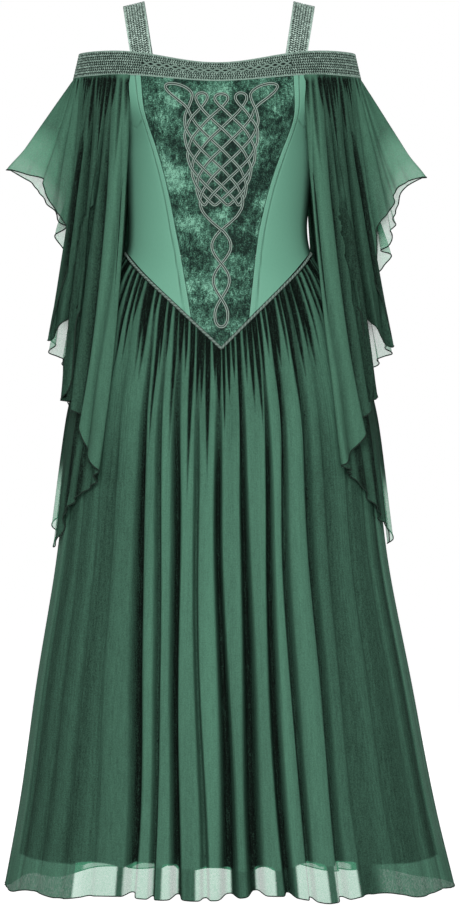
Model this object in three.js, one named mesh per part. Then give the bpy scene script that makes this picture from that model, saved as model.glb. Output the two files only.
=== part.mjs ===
// A long off-the-shoulder gown, hollow and filled out as if worn: velvet and satin bodice with a
// V waist, gathered chiffon skirt over a lining, cascade sleeves hung from a braided neckband.
// Millimetres, +Z up. The front faces -Y. The origin is midway between the tops of the two straps.
import * as THREE from "three";

const { lerp, clamp, smoothstep, degToRad } = THREE.MathUtils;

// ---- Driving sizes ----
const SEAM_GAP = 0.3;
const FACET_ROOM = 0.4; // more room where two edges of unlike steps meet
const WALL = { chiffon: 1.2, sleeve: 1.0, lining: 1.0, satin: 1.4, velvet: 1.6, trim: 1.8 };
const HEM_LEVEL = -1407;
const LINING_HEM_LEVEL = -1357;
const V_POINT_LEVEL = -553; // lowest point of the waist seam, at centre front
const V_SLOPE = 0.97; // rise of the waist seam for each millimetre away from the centre
const V_SIDE_LIFT = 10; // extra rise where the V runs into the side
const WAIST_SIDE_HALF = 148;
const WAIST_BACK_LEVEL = -398;
const PIPING_RADIUS = 2.3;
const QUARTER_TURN = Math.PI / 2;

// Oval rings of the figure from chest to hem. shift moves a ring to +X: the gown sways a little.
const RINGS = [
  { level: -119, half: 229, front: 105, back: 104, shift: -3 },
  { level: -135, half: 218, front: 109, back: 104, shift: -2 },
  { level: -165, half: 184, front: 119, back: 104, shift: 0 },
  { level: -198, half: 156, front: 126, back: 102, shift: 2 },
  { level: -250, half: 151, front: 121, back: 98, shift: 1 },
  { level: -310, half: 146, front: 108, back: 94, shift: -1 },
  { level: -363, half: 143, front: 99, back: 91, shift: -2 },
  { level: -400, half: 149, front: 100, back: 97, shift: -1 },
  { level: -440, half: 172, front: 106, back: 112, shift: 0 },
  { level: -500, half: 196, front: 113, back: 128, shift: 2 },
  { level: -560, half: 212, front: 120, back: 140, shift: 4 },
  { level: -664, half: 237, front: 135, back: 160, shift: 5 },
  { level: -888, half: 264, front: 160, back: 192, shift: 5 },
  { level: -1080, half: 298, front: 180, back: 214, shift: 8 },
  { level: -1272, half: 330, front: 198, back: 232, shift: 13 },
  { level: -1410, half: 359, front: 211, back: 246, shift: 17 },
];

// Soft rise of the bust on both sides of the centre.
const BUST = { level: -196, angle: 34, depth: 6, tall: 48, wide: 22 };

// Half width of the velvet panel, measured level across the front.
const VELVET = [
  { level: -118, half: 120 },
  { level: -177, half: 115 },
  { level: -242, half: 96 },
  { level: -307, half: 78 },
  { level: -373, half: 64 },
  { level: -436, half: 54.5 },
  { level: -508, half: 45 },
  { level: -560, half: 41 },
];

// Neckband: its top ring, the levels of both edges at the side, and how far the front dips.
const NECKBAND = {
  half: 220,
  front: 93,
  back: 93,
  shift: -3,
  topLevel: -80,
  topDip: 23,
  topBackDip: 4,
  bottomLevel: -119,
  bottomDip: 14,
  dipPower: 8,
};

// The armhole runs from the neckband's lower edge down to the underarm point in the side seam.
const ARMHOLE = { topLevel: -119, underLevel: -198, topAngle: degToRad(37) };

const STRAP = { bandCenter: 123, topCenter: 136, width: 33, tilt: 8 };

// Long folds of the skirt: where each valley lies round the figure, its width, its share of the depth.
const FOLD_DEPTH = 22;
const SKIRT_FOLDS = [
  { angle: -80, width: 3.2, share: 0.4 },
  { angle: -71, width: 3.0, share: 0.5 },
  { angle: -61, width: 3.0, share: 0.6 },
  { angle: -52, width: 2.6, share: 0.6 },
  { angle: -43.6, width: 2.6, share: 0.75 },
  { angle: -31.7, width: 3.2, share: 0.9 },
  { angle: -24.6, width: 2.0, share: 0.6 },
  { angle: -17.8, width: 2.8, share: 0.95 },
  { angle: -9.5, width: 1.9, share: 0.5 },
  { angle: -1.2, width: 3.2, share: 1.0 },
  { angle: 8.0, width: 3.2, share: 1.05 },
  { angle: 17.5, width: 2.5, share: 0.8 },
  { angle: 24.2, width: 2.0, share: 0.65 },
  { angle: 34.6, width: 2.9, share: 0.95 },
  { angle: 41.5, width: 2.4, share: 0.8 },
  { angle: 53.0, width: 2.9, share: 0.65 },
  { angle: 63.5, width: 3.2, share: 0.55 },
  { angle: 72.5, width: 3.0, share: 0.5 },
  { angle: 81.0, width: 2.6, share: 0.4 },
  { angle: 99, width: 3.0, share: 0.45 },
  { angle: 110, width: 3.0, share: 0.6 },
  { angle: 119, width: 3.2, share: 0.75 },
  { angle: 131, width: 2.8, share: 0.9 },
  { angle: 140, width: 2.2, share: 0.6 },
  { angle: 149, width: 3.1, share: 1.0 },
  { angle: 160, width: 2.6, share: 0.8 },
  { angle: 169, width: 2.9, share: 0.95 },
  { angle: 180, width: 3.3, share: 1.0 },
  { angle: 191, width: 2.4, share: 0.7 },
  { angle: 200, width: 3.0, share: 0.95 },
  { angle: 210, width: 2.8, share: 0.75 },
  { angle: 221, width: 3.1, share: 0.9 },
  { angle: 232, width: 2.6, share: 0.7 },
  { angle: 242, width: 3.0, share: 0.75 },
  { angle: 252.5, width: 3.0, share: 0.5 },
  { angle: 262, width: 2.6, share: 0.4 },
];

// How the skirt's small gathers fade and its long folds grow, by the share of the way to the hem.
const SKIRT_DROPS = [
  { drop: 0, gather: 0.7, fold: 0 },
  { drop: 0.035, gather: 1.6, fold: 0.02 },
  { drop: 0.09, gather: 1.8, fold: 0.12 },
  { drop: 0.18, gather: 1.4, fold: 0.38 },
  { drop: 0.32, gather: 0.7, fold: 0.72 },
  { drop: 0.52, gather: 0, fold: 0.9 },
  { drop: 0.77, gather: 0, fold: 1 },
  { drop: 1, gather: 0, fold: 1.1 },
];
const SKIRT_GATHERS = { front: 48, back: 44 };
const FINE_DROPS = 4; // row bands below the waist that carry the gathers
const HEM_WAVES = { count: 17, height: 5 };
const END_GAP = SEAM_GAP / 2 / 100; // half a seam's gap, as an angle at 100 mm from the middle

// Lining: how far inside the skirt's rings it hangs at the waist and at the hem.
const LINING = {
  columns: 26,
  topInset: 2,
  sideInset: 16,
  depthInset: 35,
  waves: 9,
  drops: [0, 0.06, 0.16, 0.34, 0.62, 1],
};

// Hem of each sleeve, once round the tube from the outer point by the front and back again.
// top is where that stretch hangs from: 0 the band's outer end, 1/3 the front of the armhole,
// 1/2 the underarm, 2/3 the back of the armhole, 1 the band's outer end again.
const SLEEVE_HEM_LEFT = [
  { top: 0, out: 333, y: 0, level: -264 },
  { top: 0.035, out: 306, y: -14, level: -273 },
  { top: 0.07, out: 277, y: -31, level: -290 },
  { top: 0.105, out: 258, y: -49, level: -333 },
  { top: 0.14, out: 248, y: -62, level: -364 },
  { top: 0.18, out: 269, y: -62, level: -536 },
  { top: 0.215, out: 236, y: -84, level: -500 },
  { top: 0.245, out: 244, y: -80, level: -571 },
  { top: 0.27, out: 247, y: -76, level: -635 },
  { top: 0.295, out: 222, y: -94, level: -664 },
  { top: 0.315, out: 213, y: -103, level: -710 },
  { top: 0.333, out: 187, y: -122, level: -744 },
  { top: 0.37, out: 196, y: -93, level: -770 },
  { top: 0.41, out: 224, y: -78, level: -788 },
  { top: 0.455, out: 240, y: -60, level: -816 },
  { top: 0.5, out: 262, y: -22, level: -866 },
  { top: 0.54, out: 256, y: 14, level: -842 },
  { top: 0.585, out: 244, y: 48, level: -800 },
  { top: 0.63, out: 212, y: 104, level: -786 },
  { top: 0.667, out: 186, y: 150, level: -752 },
  { top: 0.69, out: 214, y: 134, level: -704 },
  { top: 0.715, out: 228, y: 114, level: -668 },
  { top: 0.74, out: 248, y: 92, level: -628 },
  { top: 0.765, out: 243, y: 93, level: -572 },
  { top: 0.795, out: 240, y: 92, level: -520 },
  { top: 0.83, out: 266, y: 62, level: -545 },
  { top: 0.87, out: 254, y: 62, level: -372 },
  { top: 0.9, out: 262, y: 50, level: -338 },
  { top: 0.935, out: 276, y: 34, level: -300 },
  { top: 0.965, out: 303, y: 16, level: -276 },
];
const SLEEVE_HEM_RIGHT = [
  { top: 0, out: 325, y: 0, level: -276 },
  { top: 0.035, out: 301, y: -13, level: -284 },
  { top: 0.07, out: 277, y: -30, level: -312 },
  { top: 0.105, out: 267, y: -46, level: -340 },
  { top: 0.14, out: 256, y: -60, level: -360 },
  { top: 0.18, out: 275, y: -62, level: -547 },
  { top: 0.215, out: 240, y: -84, level: -492 },
  { top: 0.245, out: 248, y: -80, level: -576 },
  { top: 0.27, out: 252, y: -76, level: -642 },
  { top: 0.288, out: 237, y: -92, level: -662 },
  { top: 0.308, out: 226, y: -107, level: -698 },
  { top: 0.325, out: 198, y: -127, level: -733 },
  { top: 0.38, out: 208, y: -92, level: -756 },
  { top: 0.41, out: 229, y: -78, level: -780 },
  { top: 0.455, out: 250, y: -58, level: -812 },
  { top: 0.5, out: 268, y: -24, level: -836 },
  { top: 0.54, out: 256, y: 16, level: -861 },
  { top: 0.585, out: 246, y: 50, level: -806 },
  { top: 0.63, out: 220, y: 106, level: -780 },
  { top: 0.667, out: 192, y: 150, level: -746 },
  { top: 0.69, out: 222, y: 142, level: -708 },
  { top: 0.715, out: 236, y: 120, level: -664 },
  { top: 0.74, out: 250, y: 92, level: -622 },
  { top: 0.765, out: 243, y: 94, level: -566 },
  { top: 0.795, out: 240, y: 92, level: -516 },
  { top: 0.83, out: 268, y: 60, level: -548 },
  { top: 0.87, out: 250, y: 66, level: -376 },
  { top: 0.9, out: 260, y: 50, level: -332 },
  { top: 0.935, out: 280, y: 33, level: -302 },
  { top: 0.965, out: 304, y: 15, level: -286 },
];
const SLEEVE_DROPS = [
  { drop: 0, gather: 0.6 },
  { drop: 0.05, gather: 1.6 },
  { drop: 0.14, gather: 1.6 },
  { drop: 0.28, gather: 0.8 },
  { drop: 0.46, gather: 0 },
  { drop: 0.64, gather: 0 },
  { drop: 0.82, gather: 0 },
  { drop: 1, gather: 0 },
];
const SLEEVE_CLEARANCE = 6;
const SLEEVE_CORNER = 0.03; // share of the sleeve's round that stays smooth where band and armhole meet
const SLEEVE_LAP = { armhole: 1.1, corner: 7.5 }; // how far the sleeve lies outside the bodice's edge

// Interlace on the velvet: one cord laid as a plait of ten strands, with a two-strand chain below.
// A turn is one swing of a strand from edge to edge. centre is the velvet's middle line.
const KNOT = {
  strands: 10,
  halfWide: 1.7,
  halfHigh: 0.9,
  lift: 1.8,
  centre: 4,
  firstTurn: 0.075,
  earTurn: 0.175,
  lastTurn: 1.125,
  jointTurn: 1.19,
  sideTurn: 1.675,
  archPull: 100,
  tipPull: 70,
  chainLoops: 3,
  chainSteps: 6,
  chainTopHalf: 16,
  chainEndHalf: 10,
  chainEndLevel: -502,
};
const KNOT_ROWS = [
  { turn: 0, half: 52, level: -160 },
  { turn: 0.3, half: 56, level: -209 },
  { turn: 0.6, half: 51, level: -257 },
  { turn: 0.9, half: 40, level: -298 },
  { turn: 1.2, half: 32, level: -330 },
  { turn: 1.5, half: 25, level: -354 },
  { turn: 1.7, half: 19, level: -367 },
];
// Long ear at the plait's upper corner, from its inner leg round to its outer leg, on the +X side.
const KNOT_EAR = [
  { x: 45, level: -158, lift: 0 },
  { x: 49, level: -149, lift: 0 },
  { x: 61, level: -141, lift: 0 },
  { x: 77, level: -137, lift: 0 },
  { x: 87, level: -140, lift: 0 },
  { x: 83, level: -149, lift: 0 },
  { x: 70, level: -161, lift: 0 },
  { x: 60, level: -169, lift: -1 },
  { x: 53, level: -176, lift: -1.4 },
  { x: 49.5, level: -182, lift: -1 },
];

// ---- Helpers ----
// Value of a table's column at a key, eased through its rows by a cubic with centred slopes.
function columnAt(table, keyName, key, column) {
  const rising = table[table.length - 1][keyName] > table[0][keyName];
  let i = 0;
  const isPast = (row) => (rising ? key > row[keyName] : key < row[keyName]);
  while (i < table.length - 2 && isPast(table[i + 1])) i += 1;
  const slope = (n) => {
    const before = table[Math.max(n - 1, 0)];
    const after = table[Math.min(n + 1, table.length - 1)];
    return (after[column] - before[column]) / (after[keyName] - before[keyName]);
  };
  const from = table[i];
  const to = table[i + 1];
  const span = to[keyName] - from[keyName];
  const t = clamp((key - from[keyName]) / span, 0, 1);
  const rest = 1 - t;
  return (
    from[column] * rest * rest * (1 + 2 * t) +
    to[column] * t * t * (3 - 2 * t) +
    slope(i) * span * rest * rest * t -
    slope(i + 1) * span * t * t * rest
  );
}

// Solves level = edge(level) by repeated substitution.
function settle(start, edge) {
  let level = start;
  for (let i = 0; i < 24; i += 1) level = lerp(level, edge(level), 0.7);
  return level;
}

function ringAt(level) {
  const value = (column) => columnAt(RINGS, "level", level, column);
  return { half: value("half"), front: value("front"), back: value("back"), shift: value("shift") };
}

// Point of an oval ring. Angle 0 is centre front, a quarter turn is the +X side.
function ovalPoint(ring, angle, level, sideInset = 0, depthInset = sideInset) {
  const across = Math.sin(angle);
  const along = Math.cos(angle);
  const depth = along > 0 ? ring.front : ring.back;
  const x = ring.shift + across * (ring.half - sideInset);
  return new THREE.Vector3(x, -along * (depth - depthInset), level);
}

// Outward direction of an oval ring, level with the ground.
function ovalNormal(ring, angle) {
  const depth = Math.cos(angle) > 0 ? ring.front : ring.back;
  return new THREE.Vector3(Math.sin(angle) / ring.half, -Math.cos(angle) / depth, 0).normalize();
}

function torsoPoint(angle, level) {
  const ring = ringAt(level);
  const tall = (level - BUST.level) / BUST.tall;
  const wide = (Math.abs(angle) - degToRad(BUST.angle)) / degToRad(BUST.wide);
  const rise = BUST.depth * Math.exp(-tall * tall - wide * wide);
  return ovalPoint(ring, angle, level).addScaledVector(ovalNormal(ring, angle), rise);
}

// ---- Seams and edges, each a level or an angle ----
function bandTopLevel(angle) {
  const dip = Math.cos(angle) > 0 ? NECKBAND.topDip : NECKBAND.topBackDip;
  return NECKBAND.topLevel - dip * Math.cos(angle) ** NECKBAND.dipPower;
}

function bandBottomLevel(angle) {
  const dip = Math.cos(angle) > 0 ? NECKBAND.bottomDip : 0;
  return NECKBAND.bottomLevel - dip * Math.cos(angle) ** NECKBAND.dipPower;
}

function waistLevel(angle) {
  if (Math.cos(angle) <= 0) return WAIST_BACK_LEVEL;
  return settle(WAIST_BACK_LEVEL, (level) => {
    const out = ringAt(level).half * Math.abs(Math.sin(angle));
    const seam = V_POINT_LEVEL + V_SLOPE * out + V_SIDE_LIFT * (out / WAIST_SIDE_HALF) ** 10;
    return Math.min(seam, WAIST_BACK_LEVEL);
  });
}

// Angle of the armhole's edge from the front; below the underarm it is the side seam.
function armholeAngle(level) {
  const fall = clamp((ARMHOLE.topLevel - level) / (ARMHOLE.topLevel - ARMHOLE.underLevel), 0, 1);
  const turn = 1 - (1 - fall ** 1.5) ** 0.65;
  return lerp(ARMHOLE.topAngle, QUARTER_TURN, turn);
}

function velvetAngle(level) {
  const share = columnAt(VELVET, "level", level, "half") / ringAt(level).half;
  return Math.asin(Math.min(share, 1));
}

// Angles that share the waist seam out evenly on each side of a half's middle.
function waistStops(from, to, count) {
  const middle = (from + to) / 2;
  return [...waistRun(from, middle, count / 2), ...waistRun(middle, to, count / 2).slice(1)];
}

function waistRun(from, to, count) {
  const samples = 400;
  const lengths = [0];
  const angles = [from];
  let before = ovalPoint(ringAt(waistLevel(from)), from, waistLevel(from));
  for (let i = 1; i <= samples; i += 1) {
    const angle = lerp(from, to, i / samples);
    const here = ovalPoint(ringAt(waistLevel(angle)), angle, waistLevel(angle));
    lengths.push(lengths[i - 1] + here.distanceTo(before));
    angles.push(angle);
    before = here;
  }
  const stops = [];
  for (let n = 0, i = 0; n <= count; n += 1) {
    const goal = (lengths[samples] * n) / count;
    while (i < samples - 1 && lengths[i + 1] < goal) i += 1;
    stops.push(lerp(angles[i], angles[i + 1], (goal - lengths[i]) / (lengths[i + 1] - lengths[i])));
  }
  return stops;
}

// ---- Solids ----
// Joins rows of points into a surface; a row may have half as many steps as the one before it.
function stitch(rows, closed, flipped, offset, faces) {
  let start = offset;
  const face = (a, b, c) => faces.push(...(flipped ? [a, c, b] : [a, b, c]));
  for (let r = 0; r < rows.length - 1; r += 1) {
    const here = rows[r].length;
    const below = rows[r + 1].length;
    const next = start + here;
    const steps = closed ? below : below - 1;
    const halved = (closed ? here : here - 1) === 2 * steps;
    for (let c = 0; c < steps; c += 1) {
      const right = next + ((c + 1) % below);
      if (halved) {
        const middle = start + 2 * c + 1;
        face(start + 2 * c, next + c, middle);
        face(middle, next + c, right);
        face(middle, right, start + ((2 * c + 2) % here));
      } else {
        face(start + c, next + c, start + ((c + 1) % here));
        face(start + ((c + 1) % here), next + c, right);
      }
    }
    start = next;
  }
}

// Closes the strip between an outer and an inner line of points.
function rim(outer, inner, closed, flipped, faces) {
  const count = outer.length;
  const steps = closed ? count : count - 1;
  for (let i = 0; i < steps; i += 1) {
    const next = (i + 1) % count;
    const strip = [outer[i], inner[i], outer[next], outer[next], inner[i], inner[next]];
    faces.push(...(flipped ? strip.toReversed() : strip));
  }
}

// Direction of a line of points at one of them; an open end looks two points ahead.
function lineDirection(line, c, closed) {
  const last = line.length - 1;
  if (closed) return line[(c + 1) % line.length].clone().sub(line[(c + last) % line.length]);
  if (c > 0 && c < last) return line[c + 1].clone().sub(line[c - 1]);
  const [end, near, far] = (c === 0 ? [0, 1, 2] : [last, last - 1, last - 2]).map((n) => line[n]);
  const ahead = near.clone().multiplyScalar(4).addScaledVector(end, -3).sub(far);
  return c === 0 ? ahead : ahead.negate();
}

// Unit normals of a grid of points, from each point's neighbours.
function gridNormals(rows) {
  return rows.map((row, r) =>
    row.map((point, c) => {
      const place = (other) => other[Math.round((c / row.length) * other.length)] ?? other[0];
      const above = r > 0 ? place(rows[r - 1]) : point;
      const under = r < rows.length - 1 ? place(rows[r + 1]) : point;
      return lineDirection(row, c, false).cross(above.clone().sub(under)).normalize();
    }),
  );
}

// Unit normals of a closed tube's points, averaged from the faces round each: sound at sharp folds.
function tubeNormals(rows) {
  const faces = [];
  stitch(rows, true, false, 0, faces);
  const normals = solidGeometry(rows.flat(), faces).getAttribute("normal");
  const normalAt = (n) => new THREE.Vector3().fromBufferAttribute(normals, n);
  return rows.map((row, r) => row.map((_, c) => normalAt(r * row.length + c)));
}

// A cloth wall from rows of base points: thickness goes inwards, gathers raise the outer points.
function wallGeometry({ rows, closed = false, wall, raise = () => 0 }) {
  const normals = closed ? tubeNormals(rows) : gridNormals(rows);
  const moved = (p, r, c, out) => p.clone().addScaledVector(normals[r][c], out);
  const outer = rows.map((row, r) => row.map((p, c) => moved(p, r, c, raise(c, r))));
  const inner = rows.map((row, r) => row.map((p, c) => moved(p, r, c, -wall)));
  const faces = [];
  const count = outer.flat().length;
  stitch(outer, closed, false, 0, faces);
  stitch(inner, closed, true, count, faces);
  const starts = rows.map((_, r) => rows.slice(0, r).flat().length);
  const lineOf = (r, shift) => rows[r].map((_, c) => shift + starts[r] + c);
  const lastRow = rows.length - 1;
  rim(lineOf(0, 0), lineOf(0, count), closed, true, faces);
  rim(lineOf(lastRow, 0), lineOf(lastRow, count), closed, false, faces);
  if (!closed) {
    const ends = (shift, atEnd) => rows.map((row, r) => shift + starts[r] + (atEnd ? row.length - 1 : 0));
    rim(ends(0, false), ends(count, false), false, false, faces);
    rim(ends(0, true), ends(count, true), false, true, faces);
  }
  return solidGeometry([...outer.flat(), ...inner.flat()], faces);
}

function solidGeometry(points, faces) {
  const geometry = new THREE.BufferGeometry();
  const flat = points.flatMap((p) => p.toArray());
  geometry.setAttribute("position", new THREE.Float32BufferAttribute(flat, 3));
  geometry.setIndex(faces);
  geometry.computeVertexNormals();
  return geometry;
}

// A cord along points, each with the direction that points away from the cloth it lies on.
function cordGeometry({ points, ups, halfWide, halfHigh, sides, closed }) {
  const rows = points.map((point, i) => {
    const along = lineDirection(points, i, closed).normalize();
    const across = along.clone().cross(ups[i]).normalize();
    const up = across.clone().cross(along).normalize();
    return Array.from({ length: sides }, (_, s) => {
      const turn = ((s + 0.5) / sides) * Math.PI * 2;
      return point
        .clone()
        .addScaledVector(across, Math.cos(turn) * halfWide)
        .addScaledVector(up, Math.sin(turn) * halfHigh);
    });
  });
  const faces = [];
  const flat = rows.flat();
  if (closed) {
    for (let r = 0; r < rows.length; r += 1) {
      for (let s = 0; s < sides; s += 1) {
        const here = r * sides + s;
        const beside = r * sides + ((s + 1) % sides);
        const next = ((r + 1) % rows.length) * sides + s;
        const nextBeside = ((r + 1) % rows.length) * sides + ((s + 1) % sides);
        faces.push(here, next, beside, beside, next, nextBeside);
      }
    }
    return solidGeometry(flat, faces);
  }
  stitch(rows, true, false, 0, faces);
  const lastRow = (rows.length - 1) * sides;
  for (let s = 1; s < sides - 1; s += 1) {
    faces.push(0, s, s + 1);
    faces.push(lastRow, lastRow + s + 1, lastRow + s);
  }
  return solidGeometry(flat, faces);
}

// ---- Materials ----
const cloth = (color, roughness) =>
  new THREE.MeshStandardMaterial({ color, roughness, metalness: 0, side: THREE.DoubleSide });
const MATERIALS = {
  chiffon: cloth(0x4a7a62, 0.85),
  lining: cloth(0x33624c, 0.75),
  satin: cloth(0x649d85, 0.5),
  velvet: cloth(0x4e7764, 0.7),
  trim: cloth(0x6f8f7e, 0.8),
};

const gown = new THREE.Group();

function addPiece(name, geometry, slot) {
  const mesh = new THREE.Mesh(geometry, MATERIALS[slot].clone());
  mesh.name = name;
  gown.add(mesh);
}

// ---- Neckband ----
function bandPoint(angle, down) {
  const top = ovalPoint(NECKBAND, angle, bandTopLevel(angle));
  const bottom = torsoPoint(angle, bandBottomLevel(angle) + SEAM_GAP / 2);
  return top.lerp(bottom, down);
}

function buildNeckband() {
  const columns = 26;
  const endGap = SEAM_GAP / 2 / NECKBAND.front;
  for (const [name, from] of [["neckband_front", -QUARTER_TURN], ["neckband_back", QUARTER_TURN]]) {
    const rows = [0, 0.5, 1].map((down) =>
      Array.from({ length: columns + 1 }, (_, c) =>
        bandPoint(lerp(from + endGap, from + Math.PI - endGap, c / columns), down),
      ),
    );
    addPiece(name, wallGeometry({ rows, wall: WALL.trim }), "trim");
  }
}

// ---- Straps ----
// across runs from -1 at the strap's neck side to 1 at its arm side; along from the front to the back.
function strapPoint(side, across, along) {
  const arch = Math.sin(along * Math.PI);
  const foot = STRAP.bandCenter + (across * STRAP.width) / 2;
  const angle = Math.asin((foot - side * NECKBAND.shift) / NECKBAND.half);
  const front = along < 0.5;
  const footAngle = side * (front ? angle : Math.PI - angle);
  const base = ovalPoint(NECKBAND, footAngle, bandTopLevel(footAngle) + SEAM_GAP);
  const top = STRAP.topCenter + (across * STRAP.width) / 2;
  return new THREE.Vector3(
    side * lerp(foot, top, arch),
    base.y * Math.abs(Math.cos(along * Math.PI)),
    lerp(base.z, (-across * STRAP.tilt) / 2, arch),
  );
}

function buildStraps() {
  const steps = 14;
  for (const [name, side] of [["strap_left", -1], ["strap_right", 1]]) {
    const rows = [-1, 0, 1].map((across) =>
      Array.from({ length: steps + 1 }, (_, i) => strapPoint(side, across, i / steps)),
    );
    if (side > 0) rows.reverse();
    addPiece(name, wallGeometry({ rows, wall: WALL.trim }), "trim");
  }
}

// ---- Bodice ----
// A panel between two seams, each an angle for a level, from the neckband down to the waist seam.
function panelPoint(leftSeam, rightSeam, u, v) {
  const angleAt = (level) => {
    const left = leftSeam(level) + END_GAP;
    const right = rightSeam(level) - END_GAP;
    return lerp(left, right, u);
  };
  const topEdge = (level) => bandBottomLevel(angleAt(level)) - SEAM_GAP / 2 - FACET_ROOM;
  const footEdge = (level) => waistLevel(angleAt(level)) + pipingRoom(angleAt(level));
  const top = settle(NECKBAND.bottomLevel, topEdge);
  const foot = settle(WAIST_BACK_LEVEL, footEdge);
  const level = lerp(top, foot, v);
  return torsoPoint(angleAt(level), level);
}

// Half the height that the piping takes out of the waist seam, larger where the seam slants.
function pipingRoom(angle) {
  const slant = Math.cos(angle) > 0 ? Math.hypot(1, V_SLOPE) : 1;
  return (PIPING_RADIUS + SEAM_GAP) * slant;
}

function buildBodice() {
  const seams = {
    sideLeft: (level) => -armholeAngle(level),
    velvetLeft: (level) => -velvetAngle(level),
    velvetRight: velvetAngle,
    sideRight: armholeAngle,
    backLeft: () => -Math.PI,
    sideBackLeft: (level) => armholeAngle(level) - Math.PI,
    sideBackRight: (level) => Math.PI - armholeAngle(level),
    backRight: () => Math.PI,
  };
  const panels = [
    { name: "bodice_front_center", slot: "velvet", columns: 12, left: "velvetLeft", right: "velvetRight" },
    { name: "bodice_side_front_left", slot: "satin", columns: 7, left: "sideLeft", right: "velvetLeft" },
    { name: "bodice_side_front_right", slot: "satin", columns: 7, left: "velvetRight", right: "sideRight" },
    { name: "bodice_back_left", slot: "satin", columns: 8, left: "backLeft", right: "sideBackLeft" },
    { name: "bodice_back_right", slot: "satin", columns: 8, left: "sideBackRight", right: "backRight" },
  ];
  const rowCount = 10;
  for (const { name, slot, columns, left, right } of panels) {
    const place = (c, r) => panelPoint(seams[left], seams[right], c / columns, r / rowCount);
    const rows = Array.from({ length: rowCount + 1 }, (_, r) =>
      Array.from({ length: columns + 1 }, (_, c) => place(c, r)),
    );
    addPiece(name, wallGeometry({ rows, wall: WALL[slot] }), slot);
  }
}

// ---- Waist piping ----
function buildPiping() {
  const parts = [
    { name: "waist_piping_front", from: -QUARTER_TURN, steps: 44 },
    { name: "waist_piping_back", from: QUARTER_TURN, steps: 24 },
  ];
  for (const { name, from, steps } of parts) {
    const stops = waistStops(from + END_GAP, from + Math.PI - END_GAP, steps);
    const points = stops.map((angle) => torsoPoint(angle, waistLevel(angle)));
    const ups = stops.map((angle) => ovalNormal(ringAt(waistLevel(angle)), angle));
    const size = { halfWide: PIPING_RADIUS, halfHigh: PIPING_RADIUS, sides: 5, closed: false };
    addPiece(name, cordGeometry({ points, ups, ...size }), "trim");
  }
}

// ---- Skirt ----
// Share of the way from the waist seam down to the hem.
function skirtDrop(angle, level) {
  const waist = waistLevel(angle);
  return clamp((waist - level) / (waist - HEM_LEVEL), 0, 1);
}

function foldDepth(angle, drop) {
  const turn = THREE.MathUtils.radToDeg(angle);
  let share = 0;
  for (const fold of SKIRT_FOLDS) {
    const away = THREE.MathUtils.euclideanModulo(turn - fold.angle + 180, 360) - 180;
    share += fold.share * Math.exp(-((away / fold.width) ** 2));
  }
  return FOLD_DEPTH * share * columnAt(SKIRT_DROPS, "drop", drop, "fold");
}

function skirtPoint(angle, drop) {
  const waist = waistLevel(angle) - pipingRoom(angle);
  const hem = HEM_LEVEL + HEM_WAVES.height * Math.cos(angle * HEM_WAVES.count);
  const level = lerp(waist, hem, drop);
  const ring = ringAt(level);
  return ovalPoint(ring, angle, level).addScaledVector(ovalNormal(ring, angle), -foldDepth(angle, drop));
}

function buildSkirt() {
  const parts = [
    { name: "skirt_front", from: -QUARTER_TURN, gathers: SKIRT_GATHERS.front },
    { name: "skirt_back", from: QUARTER_TURN, gathers: SKIRT_GATHERS.back },
  ];
  for (const { name, from, gathers } of parts) {
    const stops = waistStops(from + END_GAP, from + Math.PI - END_GAP, gathers * 2);
    const rows = SKIRT_DROPS.map(({ drop }, r) => {
      const used = r <= FINE_DROPS ? stops : stops.filter((_, c) => c % 2 === 0);
      return used.map((angle) => skirtPoint(angle, drop));
    });
    const raise = (c, r) => (r <= FINE_DROPS && c % 2 === 1 ? SKIRT_DROPS[r].gather : 0);
    addPiece(name, wallGeometry({ rows, wall: WALL.chiffon, raise }), "chiffon");
  }
}

// ---- Lining ----
function liningPoint(angle, drop) {
  const waist = waistLevel(angle) - pipingRoom(angle);
  const level = lerp(waist, LINING_HEM_LEVEL + HEM_WAVES.height * Math.cos(angle * LINING.waves), drop);
  const away = columnAt(SKIRT_DROPS, "drop", drop, "fold");
  const sideInset = lerp(LINING.topInset, LINING.sideInset, away);
  const depthInset = lerp(LINING.topInset, LINING.depthInset, away);
  return ovalPoint(ringAt(level), angle, level, sideInset, depthInset);
}

function buildLining() {
  for (const [name, from] of [["lining_front", -QUARTER_TURN], ["lining_back", QUARTER_TURN]]) {
    const stops = waistStops(from + END_GAP, from + Math.PI - END_GAP, LINING.columns);
    const rows = LINING.drops.map((drop) => stops.map((angle) => liningPoint(angle, drop)));
    addPiece(name, wallGeometry({ rows, wall: WALL.lining }), "lining");
  }
}

// ---- Sleeves ----
// Where the sleeve is sewn on: along the neckband, then round the armhole.
function sleeveTop(side, place) {
  const front = place <= 0.5;
  const way = front ? place : 1 - place;
  if (way <= 1 / 3) {
    const turn = lerp(QUARTER_TURN, ARMHOLE.topAngle, way * 3);
    const angle = side * (front ? turn : Math.PI - turn);
    const level = bandBottomLevel(angle) - SEAM_GAP / 2 - FACET_ROOM;
    const lap = SLEEVE_LAP.corner * smoothstep(way, 0.2, 0.3);
    return torsoPoint(angle, level).addScaledVector(ovalNormal(ringAt(level), angle), lap);
  }
  const corner = front ? ARMHOLE.topAngle : Math.PI - ARMHOLE.topAngle;
  const top = bandBottomLevel(corner) - SEAM_GAP / 2 - FACET_ROOM;
  const level = lerp(top, ARMHOLE.underLevel, Math.sin((way * 6 - 2) * QUARTER_TURN));
  const turn = armholeAngle(level);
  const angle = side * (front ? turn : Math.PI - turn);
  return torsoPoint(angle, level).addScaledVector(ovalNormal(ringAt(level), angle), SLEEVE_LAP.armhole);
}

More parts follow.
